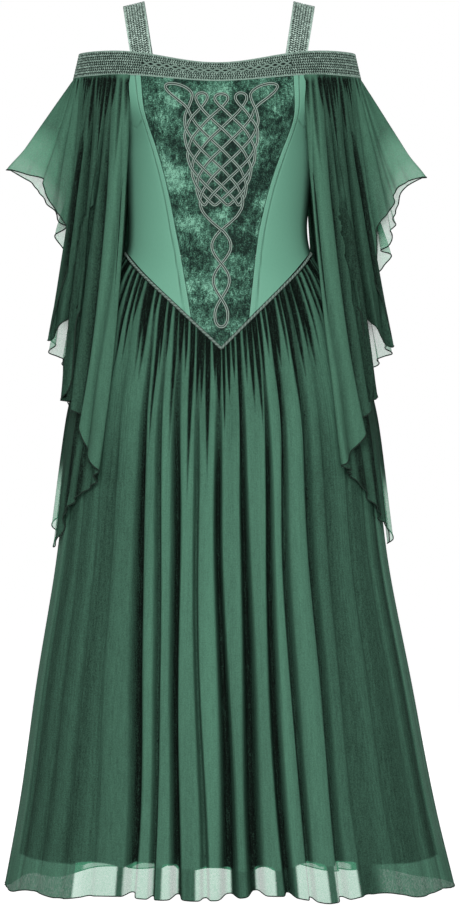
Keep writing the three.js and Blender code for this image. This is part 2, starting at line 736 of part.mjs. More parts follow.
// Moves a point out of the skirt's rings, so that the sleeve hangs just clear of the skirt.
function clearOfSkirt(point) {
  if (point.z > ARMHOLE.underLevel) return point;
  const ring = ringAt(point.z);
  const depth = (point.y < 0 ? ring.front : ring.back) + SLEEVE_CLEARANCE;
  const across = point.x - ring.shift;
  const reach = Math.hypot(across / (ring.half + SLEEVE_CLEARANCE), point.y / depth);
  if (reach >= 1) return point;
  return new THREE.Vector3(ring.shift + across / reach, point.y / reach, point.z);
}

function sleevePoint(side, hem, drop) {
  const hemPoint = new THREE.Vector3(side * hem.out, hem.y, hem.level);
  return clearOfSkirt(sleeveTop(side, hem.top).lerp(hemPoint, drop));
}

// The hem table with a row put in between each two, on a smooth curve.
function denseHem(table) {
  const count = table.length;
  return table.flatMap((row, i) => {
    const [before, next, after] = [count - 1, 1, 2].map((step) => table[(i + step) % count]);
    const middle = {};
    for (const key of ["out", "y", "level"]) {
      middle[key] = (9 * (row[key] + next[key]) - before[key] - after[key]) / 16;
    }
    middle.top = (row.top + (next.top || 1)) / 2;
    return [row, middle];
  });
}

function buildSleeves() {
  const parts = [
    { name: "sleeve_left", side: -1, table: SLEEVE_HEM_LEFT },
    { name: "sleeve_right", side: 1, table: SLEEVE_HEM_RIGHT },
  ];
  for (const { name, side, table } of parts) {
    const hem = denseHem(table);
    const rows = SLEEVE_DROPS.map(({ drop }) => {
      const row = hem.map((stretch) => sleevePoint(side, stretch, drop));
      return side > 0 ? row.reverse() : row;
    });
    const atCorner = (top) => Math.abs(Math.abs(top - 0.5) - 1 / 6) < SLEEVE_CORNER;
    const gathered = hem.map(({ top }, c) => c % 2 === 1 && !atCorner(top));
    if (side > 0) gathered.reverse();
    const raise = (c, r) => (gathered[c] ? SLEEVE_DROPS[r].gather : 0);
    addPiece(name, wallGeometry({ rows, closed: true, wall: WALL.sleeve, raise }), "chiffon");
  }
}

// ---- Interlace on the velvet ----
// A place on the front: x across, level up, height above the cloth.
function onVelvet(x, level, height) {
  const ring = ringAt(level);
  const angle = Math.asin((x - ring.shift) / ring.half);
  const up = ovalNormal(ring, angle);
  return { point: torsoPoint(angle, level).addScaledVector(up, height), up };
}

// One strand of the plait at a turn: it swings from edge to edge and passes over and under in turn.
function strandPlace(strand, turn) {
  const phase = turn + (2 * strand) / KNOT.strands;
  const edge = clamp(KNOT.strands * 0.6 * Math.sin(Math.PI * phase), -1, 1);
  return {
    x: columnAt(KNOT_ROWS, "turn", turn, "half") * Math.cos(Math.PI * phase),
    level: columnAt(KNOT_ROWS, "turn", turn, "level"),
    lift: KNOT.lift * Math.cos(Math.PI * KNOT.strands * phase) * edge,
  };
}

// Places of a strand between two turns, two to a crossing.
function strandRun(strand, from, to) {
  const count = Math.round(Math.abs(to - from) * KNOT.strands * 2);
  return Array.from({ length: count + 1 }, (_, i) => strandPlace(strand, lerp(from, to, i / count)));
}

// One side of the chain below the plait; way is 1 for the side that starts towards -X.
function chainRun(way) {
  const end = KNOT.chainLoops - 0.5;
  const start = columnAt(KNOT_ROWS, "turn", KNOT.sideTurn, "level");
  return Array.from({ length: end * KNOT.chainSteps }, (_, i) => {
    const loops = (i + 1) / KNOT.chainSteps;
    const half = lerp(KNOT.chainTopHalf, KNOT.chainEndHalf, loops / end);
    return {
      x: -way * half * Math.sin(Math.PI * loops),
      level: lerp(start, KNOT.chainEndLevel, loops / end),
      lift: -way * KNOT.lift * Math.cos(Math.PI * loops),
    };
  });
}

// A rounded turn that leaves one run and enters the next, each in its own direction.
function turnBack(before, after, pull) {
  const heading = (from, to) => {
    const length = Math.hypot(to.x - from.x, to.level - from.level);
    return { x: (to.x - from.x) / length, level: (to.level - from.level) / length };
  };
  const start = before.at(-1);
  const end = after[0];
  const leave = heading(before.at(-2), start);
  const enter = heading(end, after[1]);
  return [0.25, 0.5, 0.75].map((t) => {
    const gone = t * t * (3 - 2 * t);
    const push = pull * t * (1 - t);
    const along = (key) =>
      lerp(start[key], end[key], gone) + push * ((1 - t) * leave[key] - t * enter[key]);
    return { x: along("x"), level: along("level"), lift: 0 };
  });
}

function buildKnot() {
  const { firstTurn, earTurn, lastTurn, sideTurn, archPull, tipPull } = KNOT;
  const joint = (strand) => [{ ...strandPlace(strand, KNOT.jointTurn), lift: 0 }];
  const leftEar = KNOT_EAR.map(({ x, level, lift }) => ({ x: -x, level, lift: -lift })).reverse();
  const runs = [
    { places: strandRun(0, earTurn, lastTurn), turn: joint(0) },
    { places: strandRun(8, lastTurn, firstTurn), pull: archPull },
    { places: strandRun(1, firstTurn, lastTurn), turn: joint(1) },
    { places: strandRun(7, lastTurn, firstTurn), pull: archPull },
    { places: strandRun(2, firstTurn, lastTurn), turn: joint(2) },
    { places: strandRun(6, lastTurn, firstTurn), pull: archPull },
    { places: strandRun(3, firstTurn, lastTurn), turn: joint(3) },
    { places: strandRun(5, lastTurn, earTurn), turn: leftEar },
    { places: [...strandRun(4, firstTurn, sideTurn), ...chainRun(1)], pull: tipPull },
    { places: [...chainRun(-1).reverse(), ...strandRun(9, sideTurn, firstTurn)], turn: KNOT_EAR },
  ];
  const places = runs.flatMap((run, i) => {
    const next = runs[(i + 1) % runs.length];
    return [...run.places, ...(run.turn ?? turnBack(run.places, next.places, run.pull))];
  });
  const rest = SEAM_GAP + FACET_ROOM + KNOT.halfHigh + KNOT.lift;
  const laid = places.map(({ x, level, lift }) => onVelvet(KNOT.centre + x, level, rest + lift));
  const points = laid.map(({ point }) => point);
  const ups = laid.map(({ up }) => up);
  const size = { halfWide: KNOT.halfWide, halfHigh: KNOT.halfHigh, sides: 4, closed: true };
  addPiece("knot_cord", cordGeometry({ points, ups, ...size }), "trim");
}

buildNeckband();
buildStraps();
buildBodice();
buildPiping();
buildSkirt();
buildLining();
buildSleeves();
buildKnot();

export default gown;
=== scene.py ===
import math

import bpy
import numpy as np
from bpy.props import FloatProperty, IntProperty, PointerProperty
from bpy.types import Operator, Panel, PropertyGroup
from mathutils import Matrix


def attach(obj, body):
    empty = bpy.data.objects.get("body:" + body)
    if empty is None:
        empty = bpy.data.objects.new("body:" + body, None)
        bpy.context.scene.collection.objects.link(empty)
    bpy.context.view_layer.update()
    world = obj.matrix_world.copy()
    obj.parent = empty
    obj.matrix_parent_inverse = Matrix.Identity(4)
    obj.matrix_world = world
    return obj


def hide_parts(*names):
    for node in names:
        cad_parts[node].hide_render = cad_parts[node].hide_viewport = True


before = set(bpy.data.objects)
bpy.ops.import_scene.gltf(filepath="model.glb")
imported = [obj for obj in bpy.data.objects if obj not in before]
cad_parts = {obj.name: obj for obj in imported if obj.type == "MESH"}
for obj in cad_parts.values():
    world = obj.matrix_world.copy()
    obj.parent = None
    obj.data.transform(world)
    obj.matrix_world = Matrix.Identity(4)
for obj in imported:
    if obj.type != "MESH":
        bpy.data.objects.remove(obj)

bl_info = {
    "name": "Elf Gown",
    "version": (1, 0, 0),
    "blender": (4, 5, 0),
    "location": "View3D > Sidebar > Gown",
    "description": "Builds a long off-the-shoulder gown with cascade sleeves over its frame model",
    "category": "Object",
}

# Sizes are in millimetres and degrees and turned into metres where a mesh is made.
MM = 0.001
SEAM_GAP = 0.3
HEM_LEVEL = -1407
LINING_HEM_LEVEL = -1357
V_POINT_LEVEL = -553
V_SLOPE = 0.97
V_SIDE_LIFT = 10
WAIST_SIDE_HALF = 148
WAIST_BACK_LEVEL = -398
PIPING_RADIUS = 2.3
PIPING_SWING = 1.05
PIPING_TWIST = 7.0
BAND_LEVEL = -119
UNDERARM_LEVEL = -198
CORNER_TURN = math.radians(37)
QUARTER = math.pi / 2

# Oval rings of the figure from chest to hem.
RINGS = {
    "level": [-119, -135, -165, -198, -250, -310, -363, -400]
    + [-440, -500, -560, -664, -888, -1080, -1272, -1410],
    "half": [229, 218, 184, 156, 151, 146, 143, 149, 172, 196, 212, 237, 264, 298, 330, 359],
    "front": [105, 109, 119, 126, 121, 108, 99, 100, 106, 113, 120, 135, 160, 180, 198, 211],
    "back": [104, 104, 104, 102, 98, 94, 91, 97, 112, 128, 140, 160, 192, 214, 232, 246],
    "shift": [-3, -2, 0, 2, 1, -1, -2, -1, 0, 2, 4, 5, 5, 8, 13, 17],
}
BUST = {"level": -196, "angle": math.radians(34), "depth": 6, "tall": 48, "wide": math.radians(22)}
VELVET = {
    "level": [-118, -177, -242, -307, -373, -436, -508, -560],
    "half": [120, 115, 96, 78, 64, 54.5, 45, 41],
}
NECKBAND = {"half": 220, "front": 93, "back": 93, "shift": -3}
BAND_EDGES = {"top": -80, "top_dip": 23, "top_back_dip": 4, "bottom": -119, "bottom_dip": 14, "power": 8}
STRAP = {"foot": 123, "top": 136, "width": 33, "tilt": 8}

# Long folds of the skirt: where each valley lies round the figure, its width and its share of the depth.
FOLDS = {
    "angle": [-80, -71, -61, -52, -43.6, -31.7, -24.6, -17.8, -9.5, -1.2]
    + [8, 17.5, 24.2, 34.6, 41.5, 53, 63.5, 72.5]
    + [81, 99, 110, 119, 131, 140, 149, 160, 169, 180, 191, 200, 210, 221, 232, 242, 252.5, 262],
    "width": [3.2, 3.0, 3.0, 2.6, 2.6, 3.2, 2.0, 2.8, 1.9, 3.2, 3.2, 2.5, 2.0, 2.9, 2.4, 2.9, 3.2, 3.0]
    + [2.6, 3.0, 3.0, 3.2, 2.8, 2.2, 3.1, 2.6, 2.9, 3.3, 2.4, 3.0, 2.8, 3.1, 2.6, 3.0, 3.0, 2.6],
    "share": [0.2, 0.3, 0.35, 0.45, 0.7, 0.9, 0.6, 0.95, 0.5, 1.0]
    + [1.05, 0.8, 0.65, 0.95, 0.75, 0.5, 0.35, 0.3]
    + [0.2, 0.25, 0.6, 0.75, 0.9, 0.6, 1.0, 0.8, 0.95, 1.0, 0.7, 0.95, 0.75, 0.9, 0.7, 0.75, 0.5, 0.4],
}
# How the long folds grow on the way to the hem.
SKIRT_DROPS = {
    "drop": [0, 0.02, 0.06, 0.12, 0.2, 0.32, 0.52, 0.77, 1],
    "fold": [0, 0.02, 0.14, 0.36, 0.6, 0.82, 0.95, 1.0, 1.1],
}

# Hem of each sleeve once round the tube, close to the frame model's: top is the place it hangs from.
SLEEVE_HEM_LEFT = {
    "top": [0, 0.02, 0.045, 0.06, 0.08, 0.1, 0.12, 0.135, 0.15, 0.165, 0.18, 0.2, 0.22, 0.236, 0.255, 0.275]
    + [0.297, 0.315, 0.333, 0.37, 0.41, 0.455, 0.5, 0.54, 0.585, 0.63, 0.667, 0.69, 0.705, 0.72, 0.735]
    + [0.752, 0.77, 0.79, 0.81, 0.825, 0.84, 0.855, 0.87, 0.885, 0.905, 0.93, 0.955, 0.98],
    "out": [333, 306, 281, 277, 268, 257, 244, 240, 241, 250, 269, 254, 231, 219, 233, 240]
    + [222, 213, 187, 196, 224, 240, 262, 256, 244, 212, 186, 216, 232, 248, 236]
    + [240, 252, 263, 275, 258, 243, 252, 259, 254, 266, 281, 295, 310],
    "y": [0, -10, -22, -30, -38, -46, -54, -60, -64, -68, -62, -70, -80, -88, -82, -76]
    + [-94, -103, -122, -93, -78, -60, -22, 14, 48, 104, 150, 134, 122, 112, 104]
    + [92, 90, 82, 60, 66, 64, 60, 54, 48, 40, 30, 20, 10],
    "level": [-264, -272, -280, -293, -316, -336, -353, -376, -404, -464, -536, -520, -496, -490, -596, -640]
    + [-664, -710, -744, -770, -788, -816, -866, -842, -800, -786, -752, -700, -664, -640, -606]
    + [-590, -575, -560, -540, -480, -404, -388, -364, -348, -330, -307, -290, -277],
}
SLEEVE_HEM_RIGHT = {
    "top": [0, 0.02, 0.04, 0.06, 0.08, 0.1, 0.12, 0.135, 0.15, 0.165, 0.18, 0.2, 0.22, 0.236, 0.255, 0.275]
    + [0.29, 0.308, 0.325, 0.38, 0.41, 0.455, 0.5, 0.54, 0.585, 0.63, 0.667, 0.69, 0.705, 0.72, 0.735]
    + [0.752, 0.77, 0.79, 0.81, 0.825, 0.84, 0.855, 0.87, 0.885, 0.905, 0.93, 0.955, 0.98],
    "out": [325, 301, 288, 276, 275, 267, 253, 248, 250, 258, 275, 253, 237, 220, 236, 246]
    + [237, 226, 198, 208, 229, 250, 268, 256, 246, 220, 192, 222, 238, 251, 238]
    + [243, 256, 268, 279, 262, 254, 266, 272, 270, 283, 279, 287, 299],
    "y": [0, -10, -18, -28, -38, -46, -54, -60, -64, -68, -62, -74, -80, -88, -82, -76]
    + [-92, -107, -127, -92, -78, -58, -24, 16, 50, 106, 150, 142, 126, 112, 104]
    + [96, 90, 82, 64, 66, 64, 60, 54, 48, 40, 30, 20, 10],
    "level": [-276, -283, -293, -307, -323, -339, -355, -382, -430, -477, -547, -528, -500, -484, -590, -640]
    + [-662, -698, -733, -756, -780, -812, -836, -861, -806, -780, -746, -700, -664, -644, -632]
    + [-588, -574, -560, -545, -492, -436, -416, -396, -386, -361, -341, -318, -290],
}
# Valleys between the sleeve's columns of cloth: place round the tube, width and depth.
SLEEVE_FOLDS = {
    "place": [0.05, 0.09, 0.125, 0.16, 0.187, 0.215, 0.243, 0.271, 0.294, 0.318, 0.345, 0.4, 0.45]
    + [0.55, 0.6, 0.65, 0.69, 0.718, 0.748, 0.779, 0.812, 0.845, 0.877, 0.912, 0.95],
    "width": [0.005, 0.006, 0.006, 0.007, 0.004, 0.006, 0.004, 0.007, 0.006, 0.003, 0.008, 0.01, 0.01]
    + [0.01, 0.01, 0.009, 0.006, 0.005, 0.007, 0.005, 0.006, 0.005, 0.006, 0.006, 0.005],
    "depth": [2, 3, 4, 12, 6, 15, 7, 17, 14, 5, 12, 10, 10]
    + [10, 10, 11, 13, 8, 14, 9, 13, 8, 6, 4, 3],
}

KNOT = {
    "strands": 10,
    "lift": 1.8,
    "centre": 4,
    "first_turn": 0.075,
    "ear_turn": 0.175,
    "last_turn": 1.125,
    "side_turn": 1.675,
    "arch_pull": 100,
    "tip_pull": 70,
    "chain_loops": 3,
    "chain_steps": 6,
    "chain_top_half": 16,
    "chain_end_half": 10,
    "chain_end_level": -502,
}
KNOT_ROWS = {
    "turn": [0, 0.3, 0.6, 0.9, 1.2, 1.5, 1.7],
    "half": [52, 56, 51, 40, 32, 25, 19],
    "level": [-160, -209, -257, -298, -330, -354, -367],
}
# Long ear at the plait's upper corner, from its inner leg round to its outer leg, on the +X side.
KNOT_EAR = {
    "x": [45, 49, 61, 77, 87, 83, 70, 60, 53, 49.5],
    "level": [-158, -149, -141, -137, -140, -149, -161, -169, -176, -182],
    "lift": [0, 0, 0, 0, 0, 0, 0, -1, -1.4, -1],
}

# Colours as the eye reads them, 0 to 255.
COLOURS = {
    "satin": (110, 166, 142),
    "satin_thread": (134, 184, 162),
    "velvet_dark": (12, 32, 26),
    "velvet_mid": (66, 110, 92),
    "velvet_light": (132, 188, 163),
    "chiffon": (84, 131, 109),
    # near-black painted shade of the chiffon, for its deepest valleys
    "chiffon_painted_shade": (7, 15, 11),
    # paler, greener colour where the chiffon lies thin: painted light shining through it
    "chiffon_painted_light_through": (104, 196, 154),
    "sleeve": (78, 122, 101),
    # painted shade of the satin
    "satin_painted_shade": (22, 42, 33),
    "lining": (44, 74, 60),
    "hem": (26, 44, 35),
    "braid_light": (150, 176, 163),
    "braid_mid": (50, 78, 66),
    "strap_light": (196, 222, 209),
    # near-black ground under the braid threads: painted shade in the gaps and eyes between them
    "braid_gap_shade": (14, 26, 21),
    "cord": (152, 172, 161),
    "piping": (128, 148, 138),
}


# ---- Shape of the figure and its seams ----
def column_at(table, key, value, column):
    """A table's column at a key, eased by a cubic with centred slopes."""
    keys = np.asarray(table[key], float)
    values = np.asarray(table[column], float)
    if keys[0] > keys[-1]:
        keys, values = keys[::-1], values[::-1]
    value = np.asarray(value, float)
    i = np.clip(np.searchsorted(keys, value) - 1, 0, len(keys) - 2)
    before = np.maximum(np.arange(len(keys)) - 1, 0)
    after = np.minimum(np.arange(len(keys)) + 1, len(keys) - 1)
    slopes = (values[after] - values[before]) / (keys[after] - keys[before])
    span = keys[i + 1] - keys[i]
    t = np.clip((value - keys[i]) / span, 0, 1)
    rest = 1 - t
    ends = values[i] * rest * rest * (1 + 2 * t) + values[i + 1] * t * t * (3 - 2 * t)
    return ends + slopes[i] * span * rest * rest * t - slopes[i + 1] * span * t * t * rest


def blend(a, b, t):
    return a + (b - a) * t


def ramp(value, start, end):
    """0 before start, 1 after end, eased between."""
    t = np.clip((value - start) / (end - start), 0, 1)
    return t * t * (3 - 2 * t)


def settle(start, edge):
    """Solves level = edge(level) by repeated substitution."""
    level = start
    for _ in range(24):
        level = blend(level, edge(level), 0.7)
    return level


def ring_at(level):
    return {name: column_at(RINGS, "level", level, name) for name in ("half", "front", "back", "shift")}


def oval_point(ring, angle, level, side_inset=0.0, depth_inset=None):
    """Point of an oval ring. Angle 0 is centre front, a quarter turn is the +X side."""
    depth_inset = side_inset if depth_inset is None else depth_inset
    across, along = np.sin(angle), np.cos(angle)
    depth = np.where(along > 0, ring["front"], ring["back"])
    x = ring["shift"] + across * (ring["half"] - side_inset)
    return np.stack(np.broadcast_arrays(x, -along * (depth - depth_inset), level), -1).astype(float)


def oval_normal(ring, angle):
    depth = np.where(np.cos(angle) > 0, ring["front"], ring["back"])
    x, y = np.broadcast_arrays(np.sin(angle) / ring["half"], -np.cos(angle) / depth)
    return unit(np.stack([x, y, np.zeros_like(x)], -1))


def unit(vectors):
    return vectors / np.maximum(np.linalg.norm(vectors, axis=-1, keepdims=True), 1e-9)


def torso_point(angle, level, out=0.0):
    """Point of the bodice, raised at the bust and by out."""
    ring = ring_at(level)
    tall = (level - BUST["level"]) / BUST["tall"]
    wide = (np.abs(angle) - BUST["angle"]) / BUST["wide"]
    rise = BUST["depth"] * np.exp(-tall * tall - wide * wide) + out
    return oval_point(ring, angle, level) + oval_normal(ring, angle) * np.asarray(rise)[..., None]


def band_top(angle):
    dip = np.where(np.cos(angle) > 0, BAND_EDGES["top_dip"], BAND_EDGES["top_back_dip"])
    return BAND_EDGES["top"] - dip * np.cos(angle) ** BAND_EDGES["power"]


def band_bottom(angle):
    dip = np.where(np.cos(angle) > 0, BAND_EDGES["bottom_dip"], 0)
    return BAND_EDGES["bottom"] - dip * np.cos(angle) ** BAND_EDGES["power"]


def waist_level(angle):
    """Level of the waist seam: a V in front, level behind."""
    across = np.abs(np.sin(angle))

    def seam(level):
        out = ring_at(level)["half"] * across
        side = V_SIDE_LIFT * (out / WAIST_SIDE_HALF) ** 10
        return np.minimum(V_POINT_LEVEL + V_SLOPE * out + side, WAIST_BACK_LEVEL)

    solved = settle(np.full_like(across, WAIST_BACK_LEVEL), seam)
    return np.where(np.cos(angle) <= 1e-9, WAIST_BACK_LEVEL, solved)


def piping_room(angle):
    return (PIPING_RADIUS + SEAM_GAP) * np.where(np.cos(angle) > 0, math.hypot(1, V_SLOPE), 1.0)


def armhole_angle(level):
    fall = np.clip((BAND_LEVEL - level) / (BAND_LEVEL - UNDERARM_LEVEL), 0, 1)
    return blend(CORNER_TURN, QUARTER, 1 - (1 - fall**1.5) ** 0.65)


def velvet_angle(level):
    share = column_at(VELVET, "level", level, "half") / ring_at(level)["half"]
    return np.arcsin(np.minimum(share, 1))


def waist_stops(start, end, count):
    """Angles that share the waist seam's length out evenly on each side of the middle."""
    middle = (start + end) / 2
    halves = []
    for a, b in ((start, middle), (middle, end)):
        angles = np.linspace(a, b, 801)
        level = waist_level(angles)
        lengths = lengths_along(oval_point(ring_at(level), angles, level))
        halves.append(np.interp(np.linspace(0, lengths[-1], count // 2 + 1), lengths, angles))
    return np.concatenate([halves[0], halves[1][1:]])


WAVES = 5


def wander(values, seed):
    """A smooth uneven wave of about -1 to 1, the same on every run."""
    random = np.random.default_rng(seed)
    total = np.zeros_like(np.asarray(values, float))
    for _ in range(WAVES):
        total = total + np.sin(values * random.uniform(0.5, 1.6) + random.uniform(0, 6.28))
    return total / math.sqrt(WAVES)


def lengths_along(path):
    """How far each point of a path lies from its start."""
    steps = np.linalg.norm(np.diff(path, axis=0), axis=1)
    return np.concatenate([[0], np.cumsum(steps)])


def rows_at(rows, lengths, spots):
    """Rows of numbers, read at other lengths."""
    return np.stack([np.interp(spots, lengths, rows[:, k]) for k in range(rows.shape[1])], -1)


# ---- Mesh making ----
def grid_piece(name, points, material, closed=False, flipped=False, values=None):
    """A smooth sheet through rows of points. values are named numbers, one for each point."""
    rows, columns = points.shape[:2]
    index = np.arange(rows * columns).reshape(rows, columns)
    across = np.linalg.norm(np.diff(points, axis=1, append=points[:, :1]), axis=2)
    down = np.linalg.norm(np.diff(points, axis=0), axis=2).mean(axis=1)
    u = np.concatenate([np.zeros((rows, 1)), np.cumsum(across, axis=1)], axis=1)
    v = -np.concatenate([[0], np.cumsum(down)])[:, None] * np.ones((1, columns + 1))
    u = u - u.mean(axis=1, keepdims=True)
    wide = np.hstack([index, index[:, :1]]) if closed else index
    last = columns + 1 if closed else columns
    place = np.arange(rows)[:, None] * (columns + 1) + np.arange(last)[None, :]

    def corners(grid):
        quad = [grid[:-1, :-1], grid[1:, :-1], grid[1:, 1:], grid[:-1, 1:]]
        return np.stack(quad[::-1] if flipped else quad, -1).reshape(-1, 4)

    mesh = bpy.data.meshes.new(name)
    mesh.from_pydata((points.reshape(-1, 3) * MM).tolist(), [], corners(wide).tolist())
    layer = mesh.uv_layers.new(name="Cloth")
    spots = corners(place).reshape(-1)
    flat = np.stack([u.reshape(-1)[spots], v.reshape(-1)[spots]], -1) * MM
    layer.data.foreach_set("uv", flat.astype(np.float32).ravel())
    for label, numbers in (values or {}).items():
        attribute = mesh.attributes.new(label, "FLOAT", "POINT")
        attribute.data.foreach_set("value", np.asarray(numbers, np.float32).ravel())
    return finish_piece(name, mesh, material)


def finish_piece(name, mesh, material):
    mesh.materials.append(material)
    mesh.polygons.foreach_set("use_smooth", [True] * len(mesh.polygons))
    mesh.update()
    piece = bpy.data.objects.new(name, mesh)
    bpy.context.collection.objects.link(piece)
    return piece


def cord_part(path, ups, wide, high, sides=6, closed=False, tone=0.5):
    """(points, faces, tone) of a round or flat cord along a path."""
    count = len(path)
    if closed:
        along = unit(np.roll(path, -1, 0) - np.roll(path, 1, 0))
    else:
        along = unit(np.gradient(path, axis=0))
    across = unit(np.cross(along, ups))
    up = np.cross(across, along)
    turns = (np.arange(sides) + 0.5) / sides * 2 * math.pi
    wide, high = np.broadcast_to(wide, count), np.broadcast_to(high, count)
    rings = path[:, None] + across[:, None] * (np.cos(turns)[None, :, None] * wide[:, None, None])
    rings = rings + up[:, None] * (np.sin(turns)[None, :, None] * high[:, None, None])
    index = np.arange(count * sides).reshape(count, sides)
    index = np.hstack([index, index[:, :1]])
    if closed:
        index = np.vstack([index, index[:1]])
    quads = np.stack([index[:-1, :-1], index[1:, :-1], index[1:, 1:], index[:-1, 1:]], -1).reshape(-1, 4)
    faces = quads.tolist()
    if not closed:
        faces.append(list(range(sides)))
        faces.append([(count - 1) * sides + s for s in range(sides - 1, -1, -1)])
    return rings.reshape(-1, 3), faces, tone


def joined_piece(name, parts, material):
    """One piece from several (points, faces, tones); tones is one number, or one for each point."""
    points, faces, tones, start = [], [], [], 0
    for part_points, part_faces, part_tones in parts:
        points.append(part_points)
        faces.extend([[start + i for i in face] for face in part_faces])
        tones.append(np.broadcast_to(part_tones, len(part_points)))
        start += len(part_points)
    mesh = bpy.data.meshes.new(name)
    mesh.from_pydata((np.concatenate(points) * MM).tolist(), [], faces)
    attribute = mesh.attributes.new("tone", "FLOAT", "POINT")
    attribute.data.foreach_set("value", np.concatenate(tones).astype(np.float32))
    return finish_piece(name, mesh, material)


def stitch_template(sides=5, rings=3):
    """A plump grain one unit long, wide and high, along X: its points and faces."""
    points = [(-0.5, 0, 0)]
    for r in range(rings):
        turn = math.pi * (r + 1) / (rings + 1)
        for s in range(sides):
            spin = 2 * math.pi * s / sides
            across, up = math.sin(turn) * math.cos(spin), math.sin(turn) * math.sin(spin)
            points.append((-0.5 * math.cos(turn), 0.5 * across, 0.5 * up))
    points.append((0.5, 0, 0))
    faces = []
    for s in range(sides):
        t = (s + 1) % sides
        faces.append([0, 1 + t, 1 + s])
        for r in range(rings - 1):
            a, b = 1 + r * sides, 1 + (r + 1) * sides
            faces.append([a + s, a + t, b + t, b + s])
        a = 1 + (rings - 1) * sides
        faces.append([a + s, a + t, len(points) - 1])
    return np.array(points), faces


def grains(centres, alongs, ups, long, wide, high, seed=7):
    """(points, faces, tones) of many grains, each with its own direction and seat."""
    shape, shape_faces = stitch_template()
    alongs = unit(alongs)
    across = unit(np.cross(ups, alongs))
    up = np.cross(alongs, across)
    points = centres[:, None] + alongs[:, None] * shape[None, :, :1] * long
    points = points + across[:, None] * shape[None, :, 1:2] * wide + up[:, None] * shape[None, :, 2:] * high
    size = len(shape)
    faces = [[size * n + i for i in face] for n in range(len(centres)) for face in shape_faces]
    tones = np.repeat(np.random.default_rng(seed).uniform(0.35, 1, len(centres)), size)
    return points.reshape(-1, 3), faces, tones


# ---- Materials ----
def linear(colour):
    """An eye colour of 0 to 255 as linear RGBA."""
    parts = [c / 255 for c in COLOURS[colour]]
    return [c / 12.92 if c <= 0.04045 else ((c + 0.055) / 1.055) ** 2.4 for c in parts] + [1.0]


class Shader:
    """A Principled material with short ways to add nodes."""

    def __init__(self, name, roughness, specular):
        self.material = bpy.data.materials.new(name)
        self.material.use_nodes = True
        self.tree = self.material.node_tree
        self.surface = self.tree.nodes["Principled BSDF"]
        self.set("Roughness", roughness)
        self.set("Specular IOR Level", specular)

    def set(self, socket, value):
        self.surface.inputs[socket].default_value = value

    def join(self, source, socket):
        self.tree.links.new(source, self.surface.inputs[socket])

    def node(self, kind, **settings):
        made = self.tree.nodes.new(kind)
        for key, value in settings.items():
            if key in made.inputs:
                made.inputs[key].default_value = value
            else:
                setattr(made, key, value)
        return made

    def number(self, name):
        return self.node("ShaderNodeAttribute", attribute_name=name).outputs["Fac"]

    def noise(self, scale, stretch=(1, 1, 1), detail=2.0, roughness=0.5):
        """Noise in the object's own metres, stretched where a part of stretch is small."""
        where = self.node("ShaderNodeTexCoord").outputs["Object"]
        mapping = self.node("ShaderNodeMapping")
        mapping.inputs["Scale"].default_value = stretch
        self.tree.links.new(where, mapping.inputs["Vector"])
        made = self.node("ShaderNodeTexNoise", Scale=scale, Detail=detail, Roughness=roughness)
        self.tree.links.new(mapping.outputs["Vector"], made.inputs["Vector"])
        return made.outputs["Fac"]

    def math(self, operation, a, b, clamp=False):
        made = self.node("ShaderNodeMath", operation=operation, use_clamp=clamp)
        for socket, value in zip(made.inputs, (a, b)):
            if isinstance(value, (int, float)):
                socket.default_value = value
            else:
                self.tree.links.new(value, socket)
        return made.outputs["Value"]

    def ramp(self, factor, *stops):
        """Colours by factor; each stop is (position, colour name)."""
        made = self.node("ShaderNodeValToRGB")
        elements = made.color_ramp.elements
        while len(elements) < len(stops):
            elements.new(0.5)
        for element, (position, colour) in zip(elements, stops):
            element.position = position
            element.color = linear(colour)
        self.tree.links.new(factor, made.inputs["Fac"])
        return made.outputs["Color"]

    def mix(self, factor, first, second):
        made = self.node("ShaderNodeMix", data_type="RGBA")
        colours = [socket for socket in made.inputs if socket.type == "RGBA"]
        self.tree.links.new(factor, made.inputs["Factor"])
        self.tree.links.new(first, colours[0])
        colours[1].default_value = second
        return next(socket for socket in made.outputs if socket.type == "RGBA")

    def remap(self, value, from_low, from_high, to_low, to_high):
        made = self.node("ShaderNodeMapRange")
        made.inputs["From Min"].default_value = from_low
        made.inputs["From Max"].default_value = from_high
        made.inputs["To Min"].default_value = to_low
        made.inputs["To Max"].default_value = to_high
        self.tree.links.new(value, made.inputs["Value"])
        return made.outputs["Result"]

    def spread(self, noise, reach):
        """Noise as an even change of up to reach either way."""
        return self.remap(noise, 0.3, 0.7, -reach, reach)

    def bump(self, height, distance, strength):
        made = self.node("ShaderNodeBump", Strength=strength, Distance=distance)
        self.tree.links.new(height, made.inputs["Height"])
        self.join(made.outputs["Normal"], "Normal")


GRAIN_TONE = 0.13  # how far the crepe grain moves the colour
GRAIN_GAP = 0.09  # how far it opens and closes the cloth
# How far the fine creases lighten and darken the colour: painted light and shade on the creases, beside their
# bump.
CREASE_TONE = 0.06


